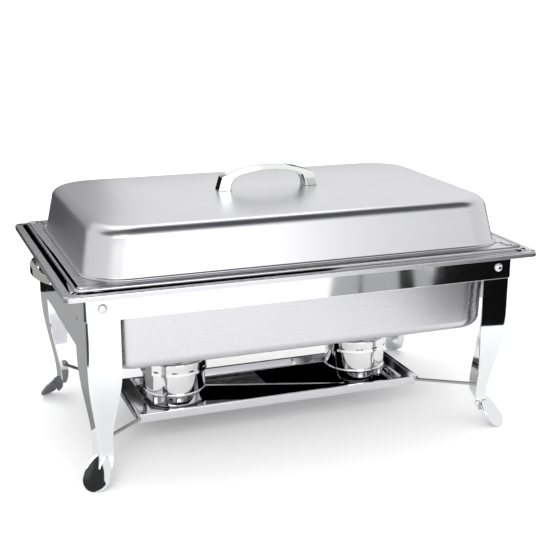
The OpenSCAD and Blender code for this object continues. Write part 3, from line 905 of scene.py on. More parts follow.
@dataclass
class PanFrame(Assembly):
    """The mirror-polished skirt that the pans sit in, with its pivot rivets and end handles."""

    wall: float = 0.0012
    corner: float = 0.007
    hem: float = 0.0009
    rivet_facets: int = 40
    handle_bar: float = 0.0056

    def build(self) -> None:
        """Builds and hands over every piece of the frame."""
        self.hand_over(self.skirt(), "frame", "frame_skirt", "mirror_steel")
        self.hand_over(self.rivets(), "frame", "pivot_rivets", "rivet_steel")
        for end in End:
            self.hand_over(self.end_handle(end), "frame", f"{end.word}_end_handle", "cast_chrome")
        self.hand_over(self.handle_rivets(), "frame", "end_handle_rivets", "rivet_steel")
        self.dress("pivot_washers", "rivet_steel")

    def skirt(self) -> bpy.types.Object:
        """Builds the skirt: one band of sheet with a rounded lower edge, and returns it."""
        box = Box.of("frame_skirt")
        full = Ring(box.size.x, box.size.y, self.corner, box.high.z)
        bench = Bench("skirt")
        low = box.low.z - box.high.z
        bench.press([full, full.grown(0, low + self.hem), full.grown(-self.hem * 0.3, low + self.hem * 0.3),
                     full.grown(-self.hem, low)], cap=False)
        bench.mend()
        bench.face_out()
        bpy.ops.object.mode_set(mode="OBJECT")
        thicken(bench.piece, self.wall)
        return smooth(bench.piece)

    def rivets(self) -> bpy.types.Object:
        """Builds the four domed pivot rivets, and returns them as one piece."""
        box = Box.of("pivot_rivets")
        face = Box.of("frame_skirt").high.y
        radius = box.size.z / 2
        proud = box.high.y - face
        dome = [(radius * math.cos(a), proud * math.sin(a))
                for a in (math.radians(step) for step in range(0, 88, 11))]
        shank = [(0.0028, -0.0053), (0.0044, -0.0053), (0.0044, -0.0047), (0.0030, -0.0045), (0.0030, 0.0),
                 (radius * 0.97, 0.0)]
        bench = Bench("rivet")
        bench.turn([*shank, *dome], sides=self.rivet_facets, cap_start=True, cap_end=True)
        first = bench.done()
        made = []
        for end in End:
            for side in Side:
                twin = copied(first, f"rivet_{end.word}_{side.word}")
                at = (end.value * (box.high.x - radius), side.value * face, box.middle.z)
                made.append(place(twin, at=at, turned=(-90 * side.value, 0, 0)))
        bpy.data.objects.remove(first)
        return smooth(joined("rivets", made), 50)

    def end_handle(self, end: End) -> bpy.types.Object:
        """Builds one carrying handle: a bow of faceted bar between two foot plates, and returns it."""
        box = Box.of(f"{end.word}_end_handle")
        face = box.high.x if end is End.LEFT else box.low.x
        tip = box.low.x if end is End.LEFT else box.high.x
        plate_half = box.size.y / 2
        half = plate_half - 0.017
        height = box.middle.z
        bow = CastBow(0.054, abs(tip - face), self.handle_bar).build()
        pieces = [place(bow, at=(face, 0, height), turned=(90, 0, 90 * end.value))]
        for side in Side:
            bench = Bench("foot")
            plate = Ring(box.size.z, 0.034, 0.005, 0.0)
            bench.press([plate.grown(-0.0002), plate.grown(-0.0002, 0.0001), plate.grown(0, 0.0004),
                         plate.grown(0, 0.0010), plate.grown(-0.0006, 0.0015)], cap=True)
            bench.fill(1)
            foot = bench.done()
            place(foot, at=(face, side.value * half, height), turned=(0, 90 * end.value, 0))
            pieces.append(smooth(foot, 30))
        return joined("end_handle", pieces)

    def handle_rivets(self) -> bpy.types.Object:
        """Builds the eight small rivets of the end handles, and returns them as one piece."""
        box = Box.of("end_handle_rivets")
        face = Box.of("frame_skirt").high.x
        radius = 0.0028
        proud = box.high.x - face
        spread = (box.high.y - radius - 0.046)
        head = [(0.0016, 0.0001), (0.0016, 0.0014), (radius, 0.0015)]
        dome = [(radius * math.cos(a), 0.0015 + (proud - 0.0015) * math.sin(a))
                for a in (math.radians(step) for step in range(15, 88, 12))]
        bench = Bench("small_rivet")
        bench.turn([*head, *dome], sides=24, cap_start=True, cap_end=True)
        first = bench.done()
        made = []
        for end in End:
            for side in Side:
                for step in (-spread, spread):
                    twin = copied(first, "small_rivet_copy")
                    at = (end.value * face, side.value * 0.046 + step, box.middle.z)
                    made.append(place(twin, at=at, turned=(0, 90 * end.value, 0)))
        bpy.data.objects.remove(first)
        return smooth(joined("small_rivets", made), 50)


@dataclass
class LegSet(Assembly):
    """The folding pair of cabriole legs at one end, with the panel welded between them."""

    end: End = End.LEFT
    wall: float = 0.0015
    corner: float = 0.0055
    head_z: float = 0.215
    knee_z: float = 0.150
    ankle_z: float = 0.034
    hem_z: float = 0.019
    ankle_in_x: float = 0.0125
    ankle_in_y: float = 0.020
    toe_out: float = 0.027
    front_edge: float = 0.2175
    front_edge_in: float = 0.009
    levels: int = 34
    toe_radius: float = 0.0154
    toe_run: float = 0.021
    toe_neck: float = 1.85
    toe_fall: float = 50.0
    toe_azimuth: float = 57.0
    hole_radius: float = 0.002
    hole_y: float = 0.106
    hole_z: float = 0.183

    def build(self) -> None:
        """Builds and hands over both legs, the panel and the wire eyes."""
        word = self.end.word
        body = f"{word}_legs"
        leg = self.leg()
        for side in Side:
            twin = copied(leg, "leg_copy")
            place(twin, scaled=(self.end.value, side.value, 1))
            self.hand_over(smooth(twin), body, f"{word}_{side.word}_leg", "mirror_steel")
        bpy.data.objects.remove(leg)
        self.hand_over(self.panel(), body, f"{word}_end_panel", "mirror_steel")
        self.hand_over(self.eyes(), body, f"{word}_wire_eyes", "rivet_steel")

    @property
    def outer(self) -> tuple[float, float]:
        """Distance of the leg's flat outer faces from the middle, along X and Y."""
        panel = Box.of("right_end_panel")
        return panel.high.x, Box.of("frame_skirt").high.y - 0.0017

    def swell(self, height: float) -> float:
        """How far the leg has curved in at a height, from 0 at the knee to 1 at the ankle."""
        share = max(self.knee_z - height, 0) / (self.knee_z - self.ankle_z)
        return ease(share ** 1.25)

    def spread(self, height: float) -> float:
        """How far the foot has flared out at a height, from 0 at the ankle to 1 at the table."""
        return (max(self.ankle_z - height, 0) / self.ankle_z) ** 2

    def corner_at(self, height: float) -> Vector:
        """Outer corner of the leg at a height."""
        out_x, out_y = self.outer
        x = out_x - self.ankle_in_x * self.swell(height) + 0.6 * self.toe_out * self.spread(height)
        y = out_y - self.ankle_in_y * self.swell(height) + 0.9 * self.toe_out * self.spread(height)
        return Vector((x, y, height))

    def flanges_at(self, height: float) -> tuple[float, float]:
        """Widths of the front and the side flange at a height."""
        corner = self.corner_at(height)
        front = self.front_edge + self.front_edge_in * ease((0.135 - height) / 0.085)
        side = Box.of("right_end_panel").high.y
        near_sole = ease((self.ankle_z - height) / 0.024)
        return (corner.x - front) * (1 - 0.25 * near_sole), (corner.y - side) * (1 - 0.55 * near_sole)

    def leg(self) -> bpy.types.Object:
        """Builds the rear right leg by pulling its L-shaped section down the cabriole curve."""
        out_x, out_y = self.outer
        top = Box.of("right_end_panel").high.z
        bench = Bench("leg")
        loop = bench.outline(Ring(2 * out_x, 2 * out_y, self.corner, top))
        bench.pick(loop, where=lambda spot: spot.x < 0 or spot.y < 0)
        bpy.ops.mesh.delete(type="VERT")
        front, side = self.flanges_at(top)
        edge = self.corner + 0.00001
        bench.pick(loop, where=lambda spot: spot.x < out_x - self.corner + 0.00001)
        bench.pull((-(front - edge) / 2, 0, 0))
        bench.pull((-(front - edge) / 2, 0, 0))
        bench.pick(loop, where=lambda spot: spot.y < out_y - self.corner + 0.00001)
        bench.pull((0, -(side - edge) / 2, 0))
        bench.pull((0, -(side - edge) / 2, 0))
        bench.pick()
        last = bench.number()
        first = last
        here = self.corner_at(top)
        for height in self.heights(top):
            corner = self.corner_at(height)
            bench.pick(last)
            last = bench.pull(corner - here)
            next_front, next_side = self.flanges_at(height)
            bench.widen((next_front / front, next_side / side, 1), corner)
            here, front, side = corner, next_front, next_side
        bench.pick(first, where=lambda spot: spot.y > out_y - 0.0001)
        bench.pull((0, 0, 0.005))
        bench.pull((-0.002, 0, self.head_z - top - 0.005))
        bench.widen((0.72, 1, 1), (out_x - 0.02, out_y, self.head_z))
        leg = bench.done_open((1, 1, 0))
        thicken(leg, self.wall)
        bored(leg, self.hole_radius, (out_x, self.hole_y, self.hole_z), (0, 90, 0))
        return joined("leg", [leg, self.toe()])

    def heights(self, top: float) -> Iterable[float]:
        """Yields the heights of the leg's stations below its top, closer together on the curve."""
        yield 0.170
        for level in range(self.levels + 1):
            yield self.knee_z + 0.006 + (self.hem_z - self.knee_z - 0.006) * level / self.levels

    def toe(self) -> bpy.types.Object:
        """Builds the leaf-shaped toe: a cupped disc drawn out to the ankle and bent down to the table."""
        radius = self.toe_radius
        upper = [(radius * 0.12, 0.0012), (radius * 0.5, 0.0014), (radius * 0.8, 0.0020),
                 (radius * 0.94, 0.0027)]
        rim = [(radius * 0.98, 0.0029), (radius, 0.0024), (radius, 0.0016), (radius * 0.97, 0.0009)]
        lower = [(radius * 0.85, 0.0004), (radius * 0.5, 0.0001), (radius * 0.12, 0.0)]
        bench = Bench("toe")
        bench.turn([*upper, *rim, *lower], sides=72, cap_start=True, cap_end=True)
        bench.pick(where=lambda spot: spot.x < 0)
        bench.widen((self.toe_neck, 1, 1), (0, 0, 0))
        toe = place(bench.done(), at=(self.toe_run, 0, 0))
        heel = self.corner_at(0.025)
        place(toe, at=(heel.x - 0.003, heel.y - 0.004, 0.026), turned=(0, self.toe_fall, self.toe_azimuth))
        take_up(toe)
        bpy.ops.object.mode_set(mode="EDIT")
        bpy.ops.mesh.select_all(action="SELECT")
        bpy.ops.mesh.bisect(plane_co=(0, 0, 0.0002), plane_no=(0, 0, -1), use_fill=True, clear_outer=True)
        bpy.ops.mesh.select_all(action="SELECT")
        bpy.ops.mesh.normals_make_consistent(inside=False)
        bpy.ops.object.mode_set(mode="OBJECT")
        return toe

    def panel(self) -> bpy.types.Object:
        """Builds the end panel: a sheet with a rolled lower edge, and returns it."""
        box = Box.of(f"{self.end.word}_end_panel")
        outer = box.low.x if self.end is End.LEFT else box.high.x
        bench = Bench("panel")
        bpy.ops.mesh.primitive_plane_add(size=1, location=box.middle, rotation=(0, math.radians(90), 0))
        bench.widen((1, box.size.y, box.size.z), box.middle)
        bench.shift((outer - box.middle.x, 0, 0))
        bpy.ops.mesh.subdivide(number_cuts=3)
        bench.pick(where=lambda spot: spot.z < box.low.z + 0.0001)
        bench.pull((-self.end.value * 0.0004, 0, -0.0))
        panel = bench.done_open((self.end.value, 0, 0))
        thicken(panel, self.wall)
        soften(panel, 0.0004, 2, 40)
        return smooth(panel)

    def eyes(self) -> bpy.types.Object:
        """Builds the two eyes that take the wire's tips, and returns them as one piece."""
        box = Box.of(f"{self.end.word}_wire_eyes")
        radius = box.size.z / 2
        bore = 0.0024
        depth = 0.005
        bench = Bench("eye")
        bench.turn([(bore, 0), (radius - 0.0005, 0), (radius, 0.0005), (radius, depth - 0.0005),
                    (radius - 0.0005, depth), (bore, depth)], sides=40, closed=True)
        first = bench.done()
        made = []
        for side in Side:
            twin = copied(first, "eye_copy")
            face = box.high.y if side is Side.REAR else box.low.y
            made.append(place(twin, at=(box.middle.x, face, box.middle.z), turned=(90 * side.value, 0, 0)))
        bpy.data.objects.remove(first)
        return smooth(joined("eyes", made), 40)


@dataclass
class FuelTray(Assembly):
    """The tray that carries the fuel holders, hung from the legs by a wire bail at each end."""

    sheet: float = 0.001
    well_length: float = 0.326
    well_width: float = 0.118
    well_depth: float = 0.009
    well_fall: tuple[float, float] = (0.004, 0.004)
    deck_z: float = 0.043
    roll: float = 0.0042
    roll_x: float = 0.1805
    roll_z: float = 0.040
    lip: float = 0.010
    wire: float = 0.002
    wire_bend: float = 0.007

    def build(self) -> None:
        """Builds and hands over the tray and both bails."""
        self.hand_over(self.tray(), "tray", "fuel_tray", "tray_steel")
        for end in End:
            self.hand_over(self.bail(end), f"{end.word}_bail", f"{end.word}_bail", "wire_steel")

    def tray(self) -> bpy.types.Object:
        """Builds the tray from one sheet: sunken well, folded front and rear lips, rolled ends."""
        box = Box.of("fuel_tray")
        width = box.size.y
        deck_end = self.roll_x - 0.001
        bench = Bench("tray")
        at = Vector((0, 0, self.deck_z))
        bpy.ops.mesh.primitive_plane_add(size=1, location=at)
        bench.widen((2 * deck_end, width, 1), at)
        outer = bench.number()
        bench.pick(outer)
        bpy.ops.mesh.delete(type="ONLY_FACE")
        fold = Ring(self.well_length + 0.0008, self.well_width + 0.0008, 0.006, self.deck_z)
        bench.press([fold, *(self.well_at(share) for share in (0.06, 0.14, 0.5, 0.86, 0.95)),
                     self.well_at(1.0).grown(-0.0006), self.well_at(1.0).grown(-0.0016)])
        bench.bridge(outer, outer + 1)
        for side in Side:
            bench.pick(outer, where=lambda spot, s=side: spot.y * s.value > 0)
            bench.shift((0, -side.value * 0.0006, 0))
            bench.pull((0, side.value * 0.0004, -0.0002))
            bench.pull((0, side.value * 0.0002, -0.0006))
            bench.pull((0, 0, -(self.lip - 0.0008)))
        for end in End:
            self.curl(bench, outer, end)
        tray = bench.done_open((0, 0, 1))
        thicken(tray, self.sheet)
        return smooth(tray)

    def well_at(self, share: float) -> Ring:
        """Returns the outline of the well's sloping wall at a share of its depth."""
        fall_x, fall_y = self.well_fall
        return Ring(self.well_length - 2 * fall_x * share, self.well_width - 2 * fall_y * share, 0.006,
                    self.deck_z - self.well_depth * share)

    def curl(self, bench: Bench, outer: int, end: End) -> None:
        """Rolls one end of the tray's deck over and round the wire."""
        bench.pick(outer, where=lambda spot: spot.x * end.value > 0)
        before = (self.roll_x - 0.001, self.deck_z)
        start = 55
        for step in range(13):
            turn = math.radians(start + 20 - (step + 1) * 24)
            here = (self.roll_x + self.roll * math.cos(turn), self.roll_z + self.roll * math.sin(turn))
            bench.pull((end.value * (here[0] - before[0]), 0, here[1] - before[1]))
            before = here

    def bail(self, end: End) -> bpy.types.Object:
        """Builds one U-shaped wire: through the roll, out along the arms and into the ankle eyes."""
        box = Box.of(f"{end.word}_bail")
        eyes = Box.of(f"{end.word}_wire_eyes")
        elbow = Box.of("fuel_tray").high.y + 0.004
        tip = box.high.y
        hinge = end.value * self.roll_x
        arm = tip - 0.008
        ends = (eyes.middle.x, eyes.middle.z)
        route = [(ends[0], -tip, ends[1]), (ends[0], -arm, ends[1]), (hinge, -elbow, self.roll_z),
                 (hinge, elbow, self.roll_z), (ends[0], arm, ends[1]), (ends[0], tip, ends[1])]
        bail = drawn_bar("bail", route, self.wire, self.wire_bend * 0.5, facets=4)
        return smooth(bail, 60)


@dataclass
class FuelHolder(Assembly):
    """One fuel holder: cup, slotted collar, swivel cover with its knob and rivet, and the tin of fuel."""

    end: End = End.LEFT
    sheet: float = 0.0009
    mouth: float = 0.024
    slots: int = 12
    slot_steps: int = 3
    sides: int = 120
    pin: float = 0.0015

    def build(self) -> None:
        """Builds and hands over every piece of the holder."""
        word = self.end.word
        holder = f"{word}_holder"
        cover = f"{word}_cover"
        self.hand_over(self.cup(), holder, f"{word}_holder_cup", "holder_steel")
        self.hand_over(self.collar(), holder, f"{word}_holder_collar", "holder_steel")
        self.hand_over(self.can(), holder, f"{word}_fuel_can", "tin")
        self.hand_over(self.wick(), holder, f"{word}_wick", "wick")
        self.hand_over(self.rivet(), holder, f"{word}_cover_rivet", "rivet_steel")
        self.hand_over(self.cover(), cover, f"{word}_swivel_cover", "holder_steel")
        self.hand_over(self.knob(), cover, f"{word}_cover_knob", "cast_chrome")

    @property
    def centre(self) -> Vector:
        """Place of the holder's axis."""
        middle = Box.of(f"{self.end.word}_holder_cup").middle
        return Vector((middle.x, middle.y, 0))

    def cup(self) -> bpy.types.Object:
        """Builds the cup: a drawn can with a rounded foot and a stiffening bead, and returns it."""
        box = Box.of(f"{self.end.word}_holder_cup")
        low, high = box.low.z, box.high.z
        bead = box.size.x / 2
        radius = bead - 0.001
        wall = self.sheet
        foot = [(radius - 0.004 + 0.004 * math.sin(a), low + 0.004 - 0.004 * math.cos(a))
                for a in (math.radians(step) for step in range(0, 91, 15))]
        ring = [(radius + 0.001 * math.sin(a), low + 0.0155 - 0.0022 * math.cos(a))
                for a in (math.radians(step) for step in range(0, 181, 30))]
        inner = [(radius - wall, high), (radius - wall, low + 0.004), (radius - 0.004, low + wall),
                 (0.002, low + wall)]
        bench = Bench("cup")
        bench.turn([(0.002, low), *foot, *ring, (radius, high - 0.0003), (radius - 0.0003, high), *inner],
                   self.centre, self.sides, cap_start=True, cap_end=True)
        return smooth(bench.done())

    def collar(self) -> bpy.types.Object:
        """Builds the drop-on collar with its round mouth and row of air slots, and returns it."""
        box = Box.of(f"{self.end.word}_holder_collar")
        low, high = box.low.z, box.high.z
        radius = box.size.x / 2
        slot_low, slot_high = low + 0.004, low + 0.0062
        shoulder = [(radius - 0.0024 + 0.0024 * math.cos(a), high - 0.0024 + 0.0024 * math.sin(a))
                    for a in (math.radians(step) for step in range(0, 91, 18))]
        bench = Bench("collar")
        bench.turn([(radius - 0.0008, low + 0.0003), (radius - 0.0002, low), (radius, low + 0.0006),
                    (radius - 0.0003, low + 0.0022), (radius - 0.0003, slot_low),
                    (radius - 0.0003, slot_high),
                    *shoulder, (self.mouth + 0.0025, high), (self.mouth + 0.0008, high - 0.0003),
                    (self.mouth, high - 0.0012), (self.mouth, high - 0.0028)], self.centre, self.sides)
        step = math.tau / self.slots
        half = self.slot_steps * math.tau / self.sides / 2
        middle = self.centre

        def in_slot(face: bmesh.types.BMFace) -> bool:
            """Tells whether a face lies where a slot is cut."""
            spot = face.calc_center_median() - middle
            turned = (math.atan2(spot.y, spot.x) + math.tau) % step
            return slot_low < spot.z < slot_high and abs(turned - step / 2) < half
        bench.mend()
        bench.pick_faces(in_slot)
        bpy.ops.mesh.delete(type="FACE")
        bench.by_vertex()
        collar = bench.done_open((0, 0, 1))
        thicken(collar, self.sheet)
        return smooth(collar)

    def cover(self) -> bpy.types.Object:
        """Builds the swivel cover: a disc with a small flame hole, a raised ring and a pivot ear."""
        box = Box.of(f"{self.end.word}_swivel_cover")
        low, high = box.low.z, box.high.z
        radius = box.size.x / 2
        edge = 0.0004
        bench = Bench("cover")
        bench.turn([(0.007, low), (radius - edge, low), (radius, low + edge), (radius, high - edge),
                    (radius - edge, high), (0.016, high), (0.0155, high - 0.0003), (0.0145, high - 0.0003),
                    (0.014, high), (0.0074, high), (0.007, high - edge)], self.centre, 96, closed=True)
        disc = smooth(bench.done())
        ear_length = box.high.y - 0.022
        ear = Bench("ear")
        tab = Ring(0.010, ear_length, 0.0048, 0)
        ear_centre = self.centre + Vector((0, 0.022 + ear_length / 2, 0))
        ear.press([tab.grown(-edge, low), tab.grown(0, low + edge), tab.grown(0, high - edge),
                   tab.grown(-edge, high)], centre=ear_centre)
        ear.fill(1)
        return joined("cover", [disc, smooth(ear.done())])

    def rivet(self) -> bpy.types.Object:
        """Builds the rivet that the cover swings on, and returns it."""
        box = Box.of(f"{self.end.word}_cover_rivet")
        low, high = box.low.z, box.high.z
        bench = Bench("cover_rivet")
        dome = [(0.003 * math.cos(a), high - 0.001 + 0.001 * math.sin(a))
                for a in (math.radians(step) for step in range(0, 86, 17))]
        bench.turn([(0.0024, low), (0.0026, low + 0.0002), (0.0026, low + 0.0008), (self.pin, low + 0.0008),
                    (self.pin, high - 0.001), *dome], box.middle - Vector((0, 0, box.middle.z)), 36,
                   cap_start=True, cap_end=True)
        return smooth(bench.done(), 45)

    def knob(self) -> bpy.types.Object:
        """Builds the cover's little turned knob, and returns it."""
        box = Box.of(f"{self.end.word}_cover_knob")
        low, high = box.low.z, box.high.z
        radius = box.size.x / 2
        head = high - 0.004
        top = [(radius - 0.001 + 0.001 * math.cos(a), high - 0.001 + 0.001 * math.sin(a))
               for a in (math.radians(step) for step in range(0, 91, 18))]
        bench = Bench("knob")
        bench.turn([(self.pin, low), (self.pin, low + 0.0012), (0.0024, low + 0.0012), (0.002, low + 0.002),
                    (0.002, head - 0.0006), (radius - 0.0006, head), (radius, head + 0.0006), *top,
                    (0.0006, high)], Vector((box.middle.x, box.middle.y, 0)), 40,
                   cap_start=True, cap_end=True)
        return smooth(bench.done(), 40)

    def can(self) -> bpy.types.Object:
        """Builds the tin of fuel with its seamed rims and raised mouth, and returns it."""
        box = Box.of(f"{self.end.word}_fuel_can")
        low, high = box.low.z, box.high.z
        seam = box.size.x / 2
        radius = seam - 0.0008
        lid = high - 0.0035
        mouth = 0.016
        bench = Bench("can")
        bench.turn([(0.001, low + 0.001), (radius - 0.003, low + 0.001), (radius - 0.002, low), (radius, low),
                    (seam, low + 0.0006), (seam, low + 0.0014), (radius, low + 0.002), (radius, lid - 0.0005),
                    (seam, lid + 0.0001), (seam, lid + 0.0009), (radius + 0.0002, lid + 0.0015),
                    (radius - 0.0008, lid + 0.0015), (radius - 0.0015, lid), (mouth + 0.001, lid),
                    (mouth, lid + 0.0006), (mouth, high - 0.0004), (mouth - 0.0006, high), (0.0042, high),
                    (0.0032, high - 0.0006), (0.003, high - 0.006), (0.0005, high - 0.006)], self.centre, 96,
                   cap_start=True, cap_end=True)
        return smooth(bench.done(), 35)

    def wick(self) -> bpy.types.Object:
        """Builds the wick: a ribbed cotton cord with a frayed top, and returns it."""
        box = Box.of(f"{self.end.word}_wick")
        low, high = box.low.z, box.high.z
        radius = box.size.x / 2 - 0.0001
        ribs = 8
        rows = []
        for rib in range(ribs):
            base = low + (high - low - 0.001) * rib / ribs
            rise = (high - low - 0.001) / ribs
            rows += [(radius * 0.9, base), (radius, base + rise * 0.5)]
        bench = Bench("wick")
        bench.turn([*rows, (radius * 0.8, high - 0.0006), (radius * 0.4, high)],
                   Vector((box.middle.x, box.middle.y, 0)), 24, cap_start=True, cap_end=True)
        return smooth(bench.done(), 70)


@dataclass
class Pan(Assembly):
    """A deep-drawn pan: a flat flange with a turned-down edge, and a rounded body below it."""

    node: str = "water_pan"
    body: str = "water_pan"
    sheet: float = 0.001
    lip_corner: float = 0.009
    edge_drop: float = 0.006
    body_length: float = 0.482
    body_width: float = 0.299
    body_corner: float = 0.046
    taper: float = 0.004
    shoulder: float = 0.004
    foot: float = 0.012

    def build(self) -> None:
        """Builds and hands over the pan."""
        self.hand_over(self.pan(), self.body, self.node, "satin_steel")

    def pan(self) -> bpy.types.Object:
        """Presses the pan from its upper side and gives it its sheet thickness, and returns it."""
        box = Box.of(self.node)
        top = box.high.z
        bottom = box.low.z + self.sheet
        flange = Ring(box.size.x, box.size.y, self.lip_corner, top)
        bend = 0.0016
        lip = [flange.grown(-0.0002, -self.edge_drop), flange.grown(0, -self.edge_drop + 0.0004)]
        lip += [flange.grown(-bend + bend * math.cos(a), -bend + bend * math.sin(a))
                for a in (math.radians(step) for step in range(0, 91, 18))]
        inside = Ring(self.body_length - 2 * self.sheet, self.body_width - 2 * self.sheet,
                      self.body_corner - self.sheet, top)
        well = inside.grown(self.shoulder)
        rings = [*lip, *(between(lip[-1], well, share) for share in (0.02, 0.2, 0.4, 0.6, 0.8, 0.98)), well]
        rings += [inside.grown(self.shoulder * (1 - math.sin(a)), -self.shoulder * (1 - math.cos(a)))
                  for a in (math.radians(step) for step in range(18, 91, 18))]
        wall_top = top - self.shoulder
        wall_low = bottom + self.foot
        for share in (0.25, 0.5, 0.75, 1.0):
            rings.append(inside.grown(-self.taper * share, (wall_low - wall_top) * share - self.shoulder))
        rings += [inside.grown(-self.taper - self.foot * (1 - math.cos(a)),
                               bottom - top + self.foot * (1 - math.sin(a)))
                  for a in (math.radians(step) for step in range(12, 91, 13))]
        bench = Bench("pan")
        bench.press(rings)
        pan = bench.done_open((0, 0, 1))
        thicken(pan, self.sheet, even=False)
        return smooth(pan)


@dataclass
class Lid(Assembly):
    """The domed lid with its rolled rim, its cast bow handle and the handle's screws."""

    sheet: float = 0.0012
    rim: float = 0.003
    step: float = 0.004
    corner: float = 0.044
    lean: float = 0.007
    shoulder: float = 0.014
    crown: float = 0.003

    def build(self) -> None:
        """Builds and hands over the lid, its handle and its screws."""
        self.hand_over(self.dome(), "lid", "lid", "satin_lid")
        self.hand_over(self.handle(), "lid", "lid_handle", "cast_chrome")
        self.hand_over(self.screws(), "lid", "lid_handle_screws", "rivet_steel")

    def dome(self) -> bpy.types.Object:
        """Presses the lid and rolls its rim, and returns it."""
        box = Box.of("lid")
        low, high = box.low.z, box.high.z
        wall = Ring(box.size.x - 2 * self.step, box.size.y - 2 * self.step, self.corner, low)
        knee = high - self.crown - self.shoulder
        foot = 0.0015
        rings = [Ring(wall.length + 2 * (foot + 0.0008), wall.width + 2 * (foot + 0.0008),
                      self.corner + foot, low + self.rim * 0.6)]
        rings += [Ring(wall.length + 2 * foot * (1 - math.sin(a)), wall.width + 2 * foot * (1 - math.sin(a)),
                       self.corner, low + self.rim * 0.6 + foot * (1 - math.cos(a)))
                  for a in (math.radians(angle) for angle in (30, 60, 90))]
        base = low + self.rim * 0.6 + foot
        for share in (0.25, 0.5, 0.75, 1.0):
            inset = self.lean * share
            rings.append(Ring(wall.length - 2 * inset, wall.width - 2 * inset, self.corner,
                              base + (knee - base) * share))
        for angle in range(8, 89, 8):
            turn = math.radians(angle)
            inset = self.lean + self.shoulder * (1 - math.cos(turn))
            rings.append(Ring(wall.length - 2 * inset, wall.width - 2 * inset, self.corner,
                              knee + self.shoulder * math.sin(turn)))
        inset = self.lean + self.shoulder
        edge_length, edge_width = wall.length - 2 * inset, wall.width - 2 * inset
        for share in (0.94, 0.86, 0.74, 0.6, 0.44, 0.26, 0.08):
            rise = self.crown * (1 - share ** 2)
            across = edge_width * share
            along = edge_length - (edge_width - across)
            rings.append(Ring(along, across, max(self.corner * share, 0.004),
                              high - self.crown + rise * 0.99))
        bench = Bench("dome")
        bench.press(rings)
        dome = bench.done_open((0, 0, 1))
        thicken(dome, self.sheet)
        rim = Bench("rim")
        middle = Ring(box.size.x - self.step, box.size.y - self.step, self.corner + 0.001, low + self.rim / 2)
        rim.press([middle.grown(self.step / 2 * math.cos(a), self.rim / 2 * math.sin(a))
                   for a in (math.radians(step) for step in range(0, 360, 30))], closed=True, cap=False)
        return smooth(joined("lid", [dome, rim.done()]), 40)

    def handle(self) -> bpy.types.Object:
        """Builds the cast bow that stands on the lid, and returns it."""
        box = Box.of("lid_handle")
        bow = CastBow(box.size.x / 2, box.size.z, box.size.y / 2).build()
        return place(bow, at=(box.middle.x, box.middle.y, box.low.z))

    def screws(self) -> bpy.types.Object:
        """Builds the two screws that hold the handle from below, and returns them as one piece."""
        box = Box.of("lid_handle_screws")
        low, high = box.low.z, box.high.z
        radius = box.size.y / 2
        bench = Bench("screw")
        bench.turn([(0.0012, low + 0.0008), (0.0012, low), (radius * 0.62, low), (radius * 0.8, low + 0.0003),
                    (radius, low + 0.0016), (radius, low + 0.0022), (0.0019, low + 0.0022),
                    (0.0019, high - 0.0004),
                    (0.0015, high)], sides=36, cap_start=True, cap_end=True)
        first = bench.done()
        second = copied(first, "screw_copy")
        place(first, at=(box.low.x + radius, 0, 0))
        place(second, at=(box.high.x - radius, 0, 0))
        return smooth(joined("screws", [first, second]), 40)


# ---- studio ----


@dataclass(frozen=True)
class Card:
    """A flat studio card that only shows in reflections."""

    name: str
    at: Point
    size: tuple[float, float]
    turned: Point = (0.0, 0.0, 0.0)
    grey: float = 0.01


@dataclass(frozen=True)
class SoftBox:
    """A soft area lamp."""

    name: str
    at: Point
    aim: Point
    size: tuple[float, float]
    power: float


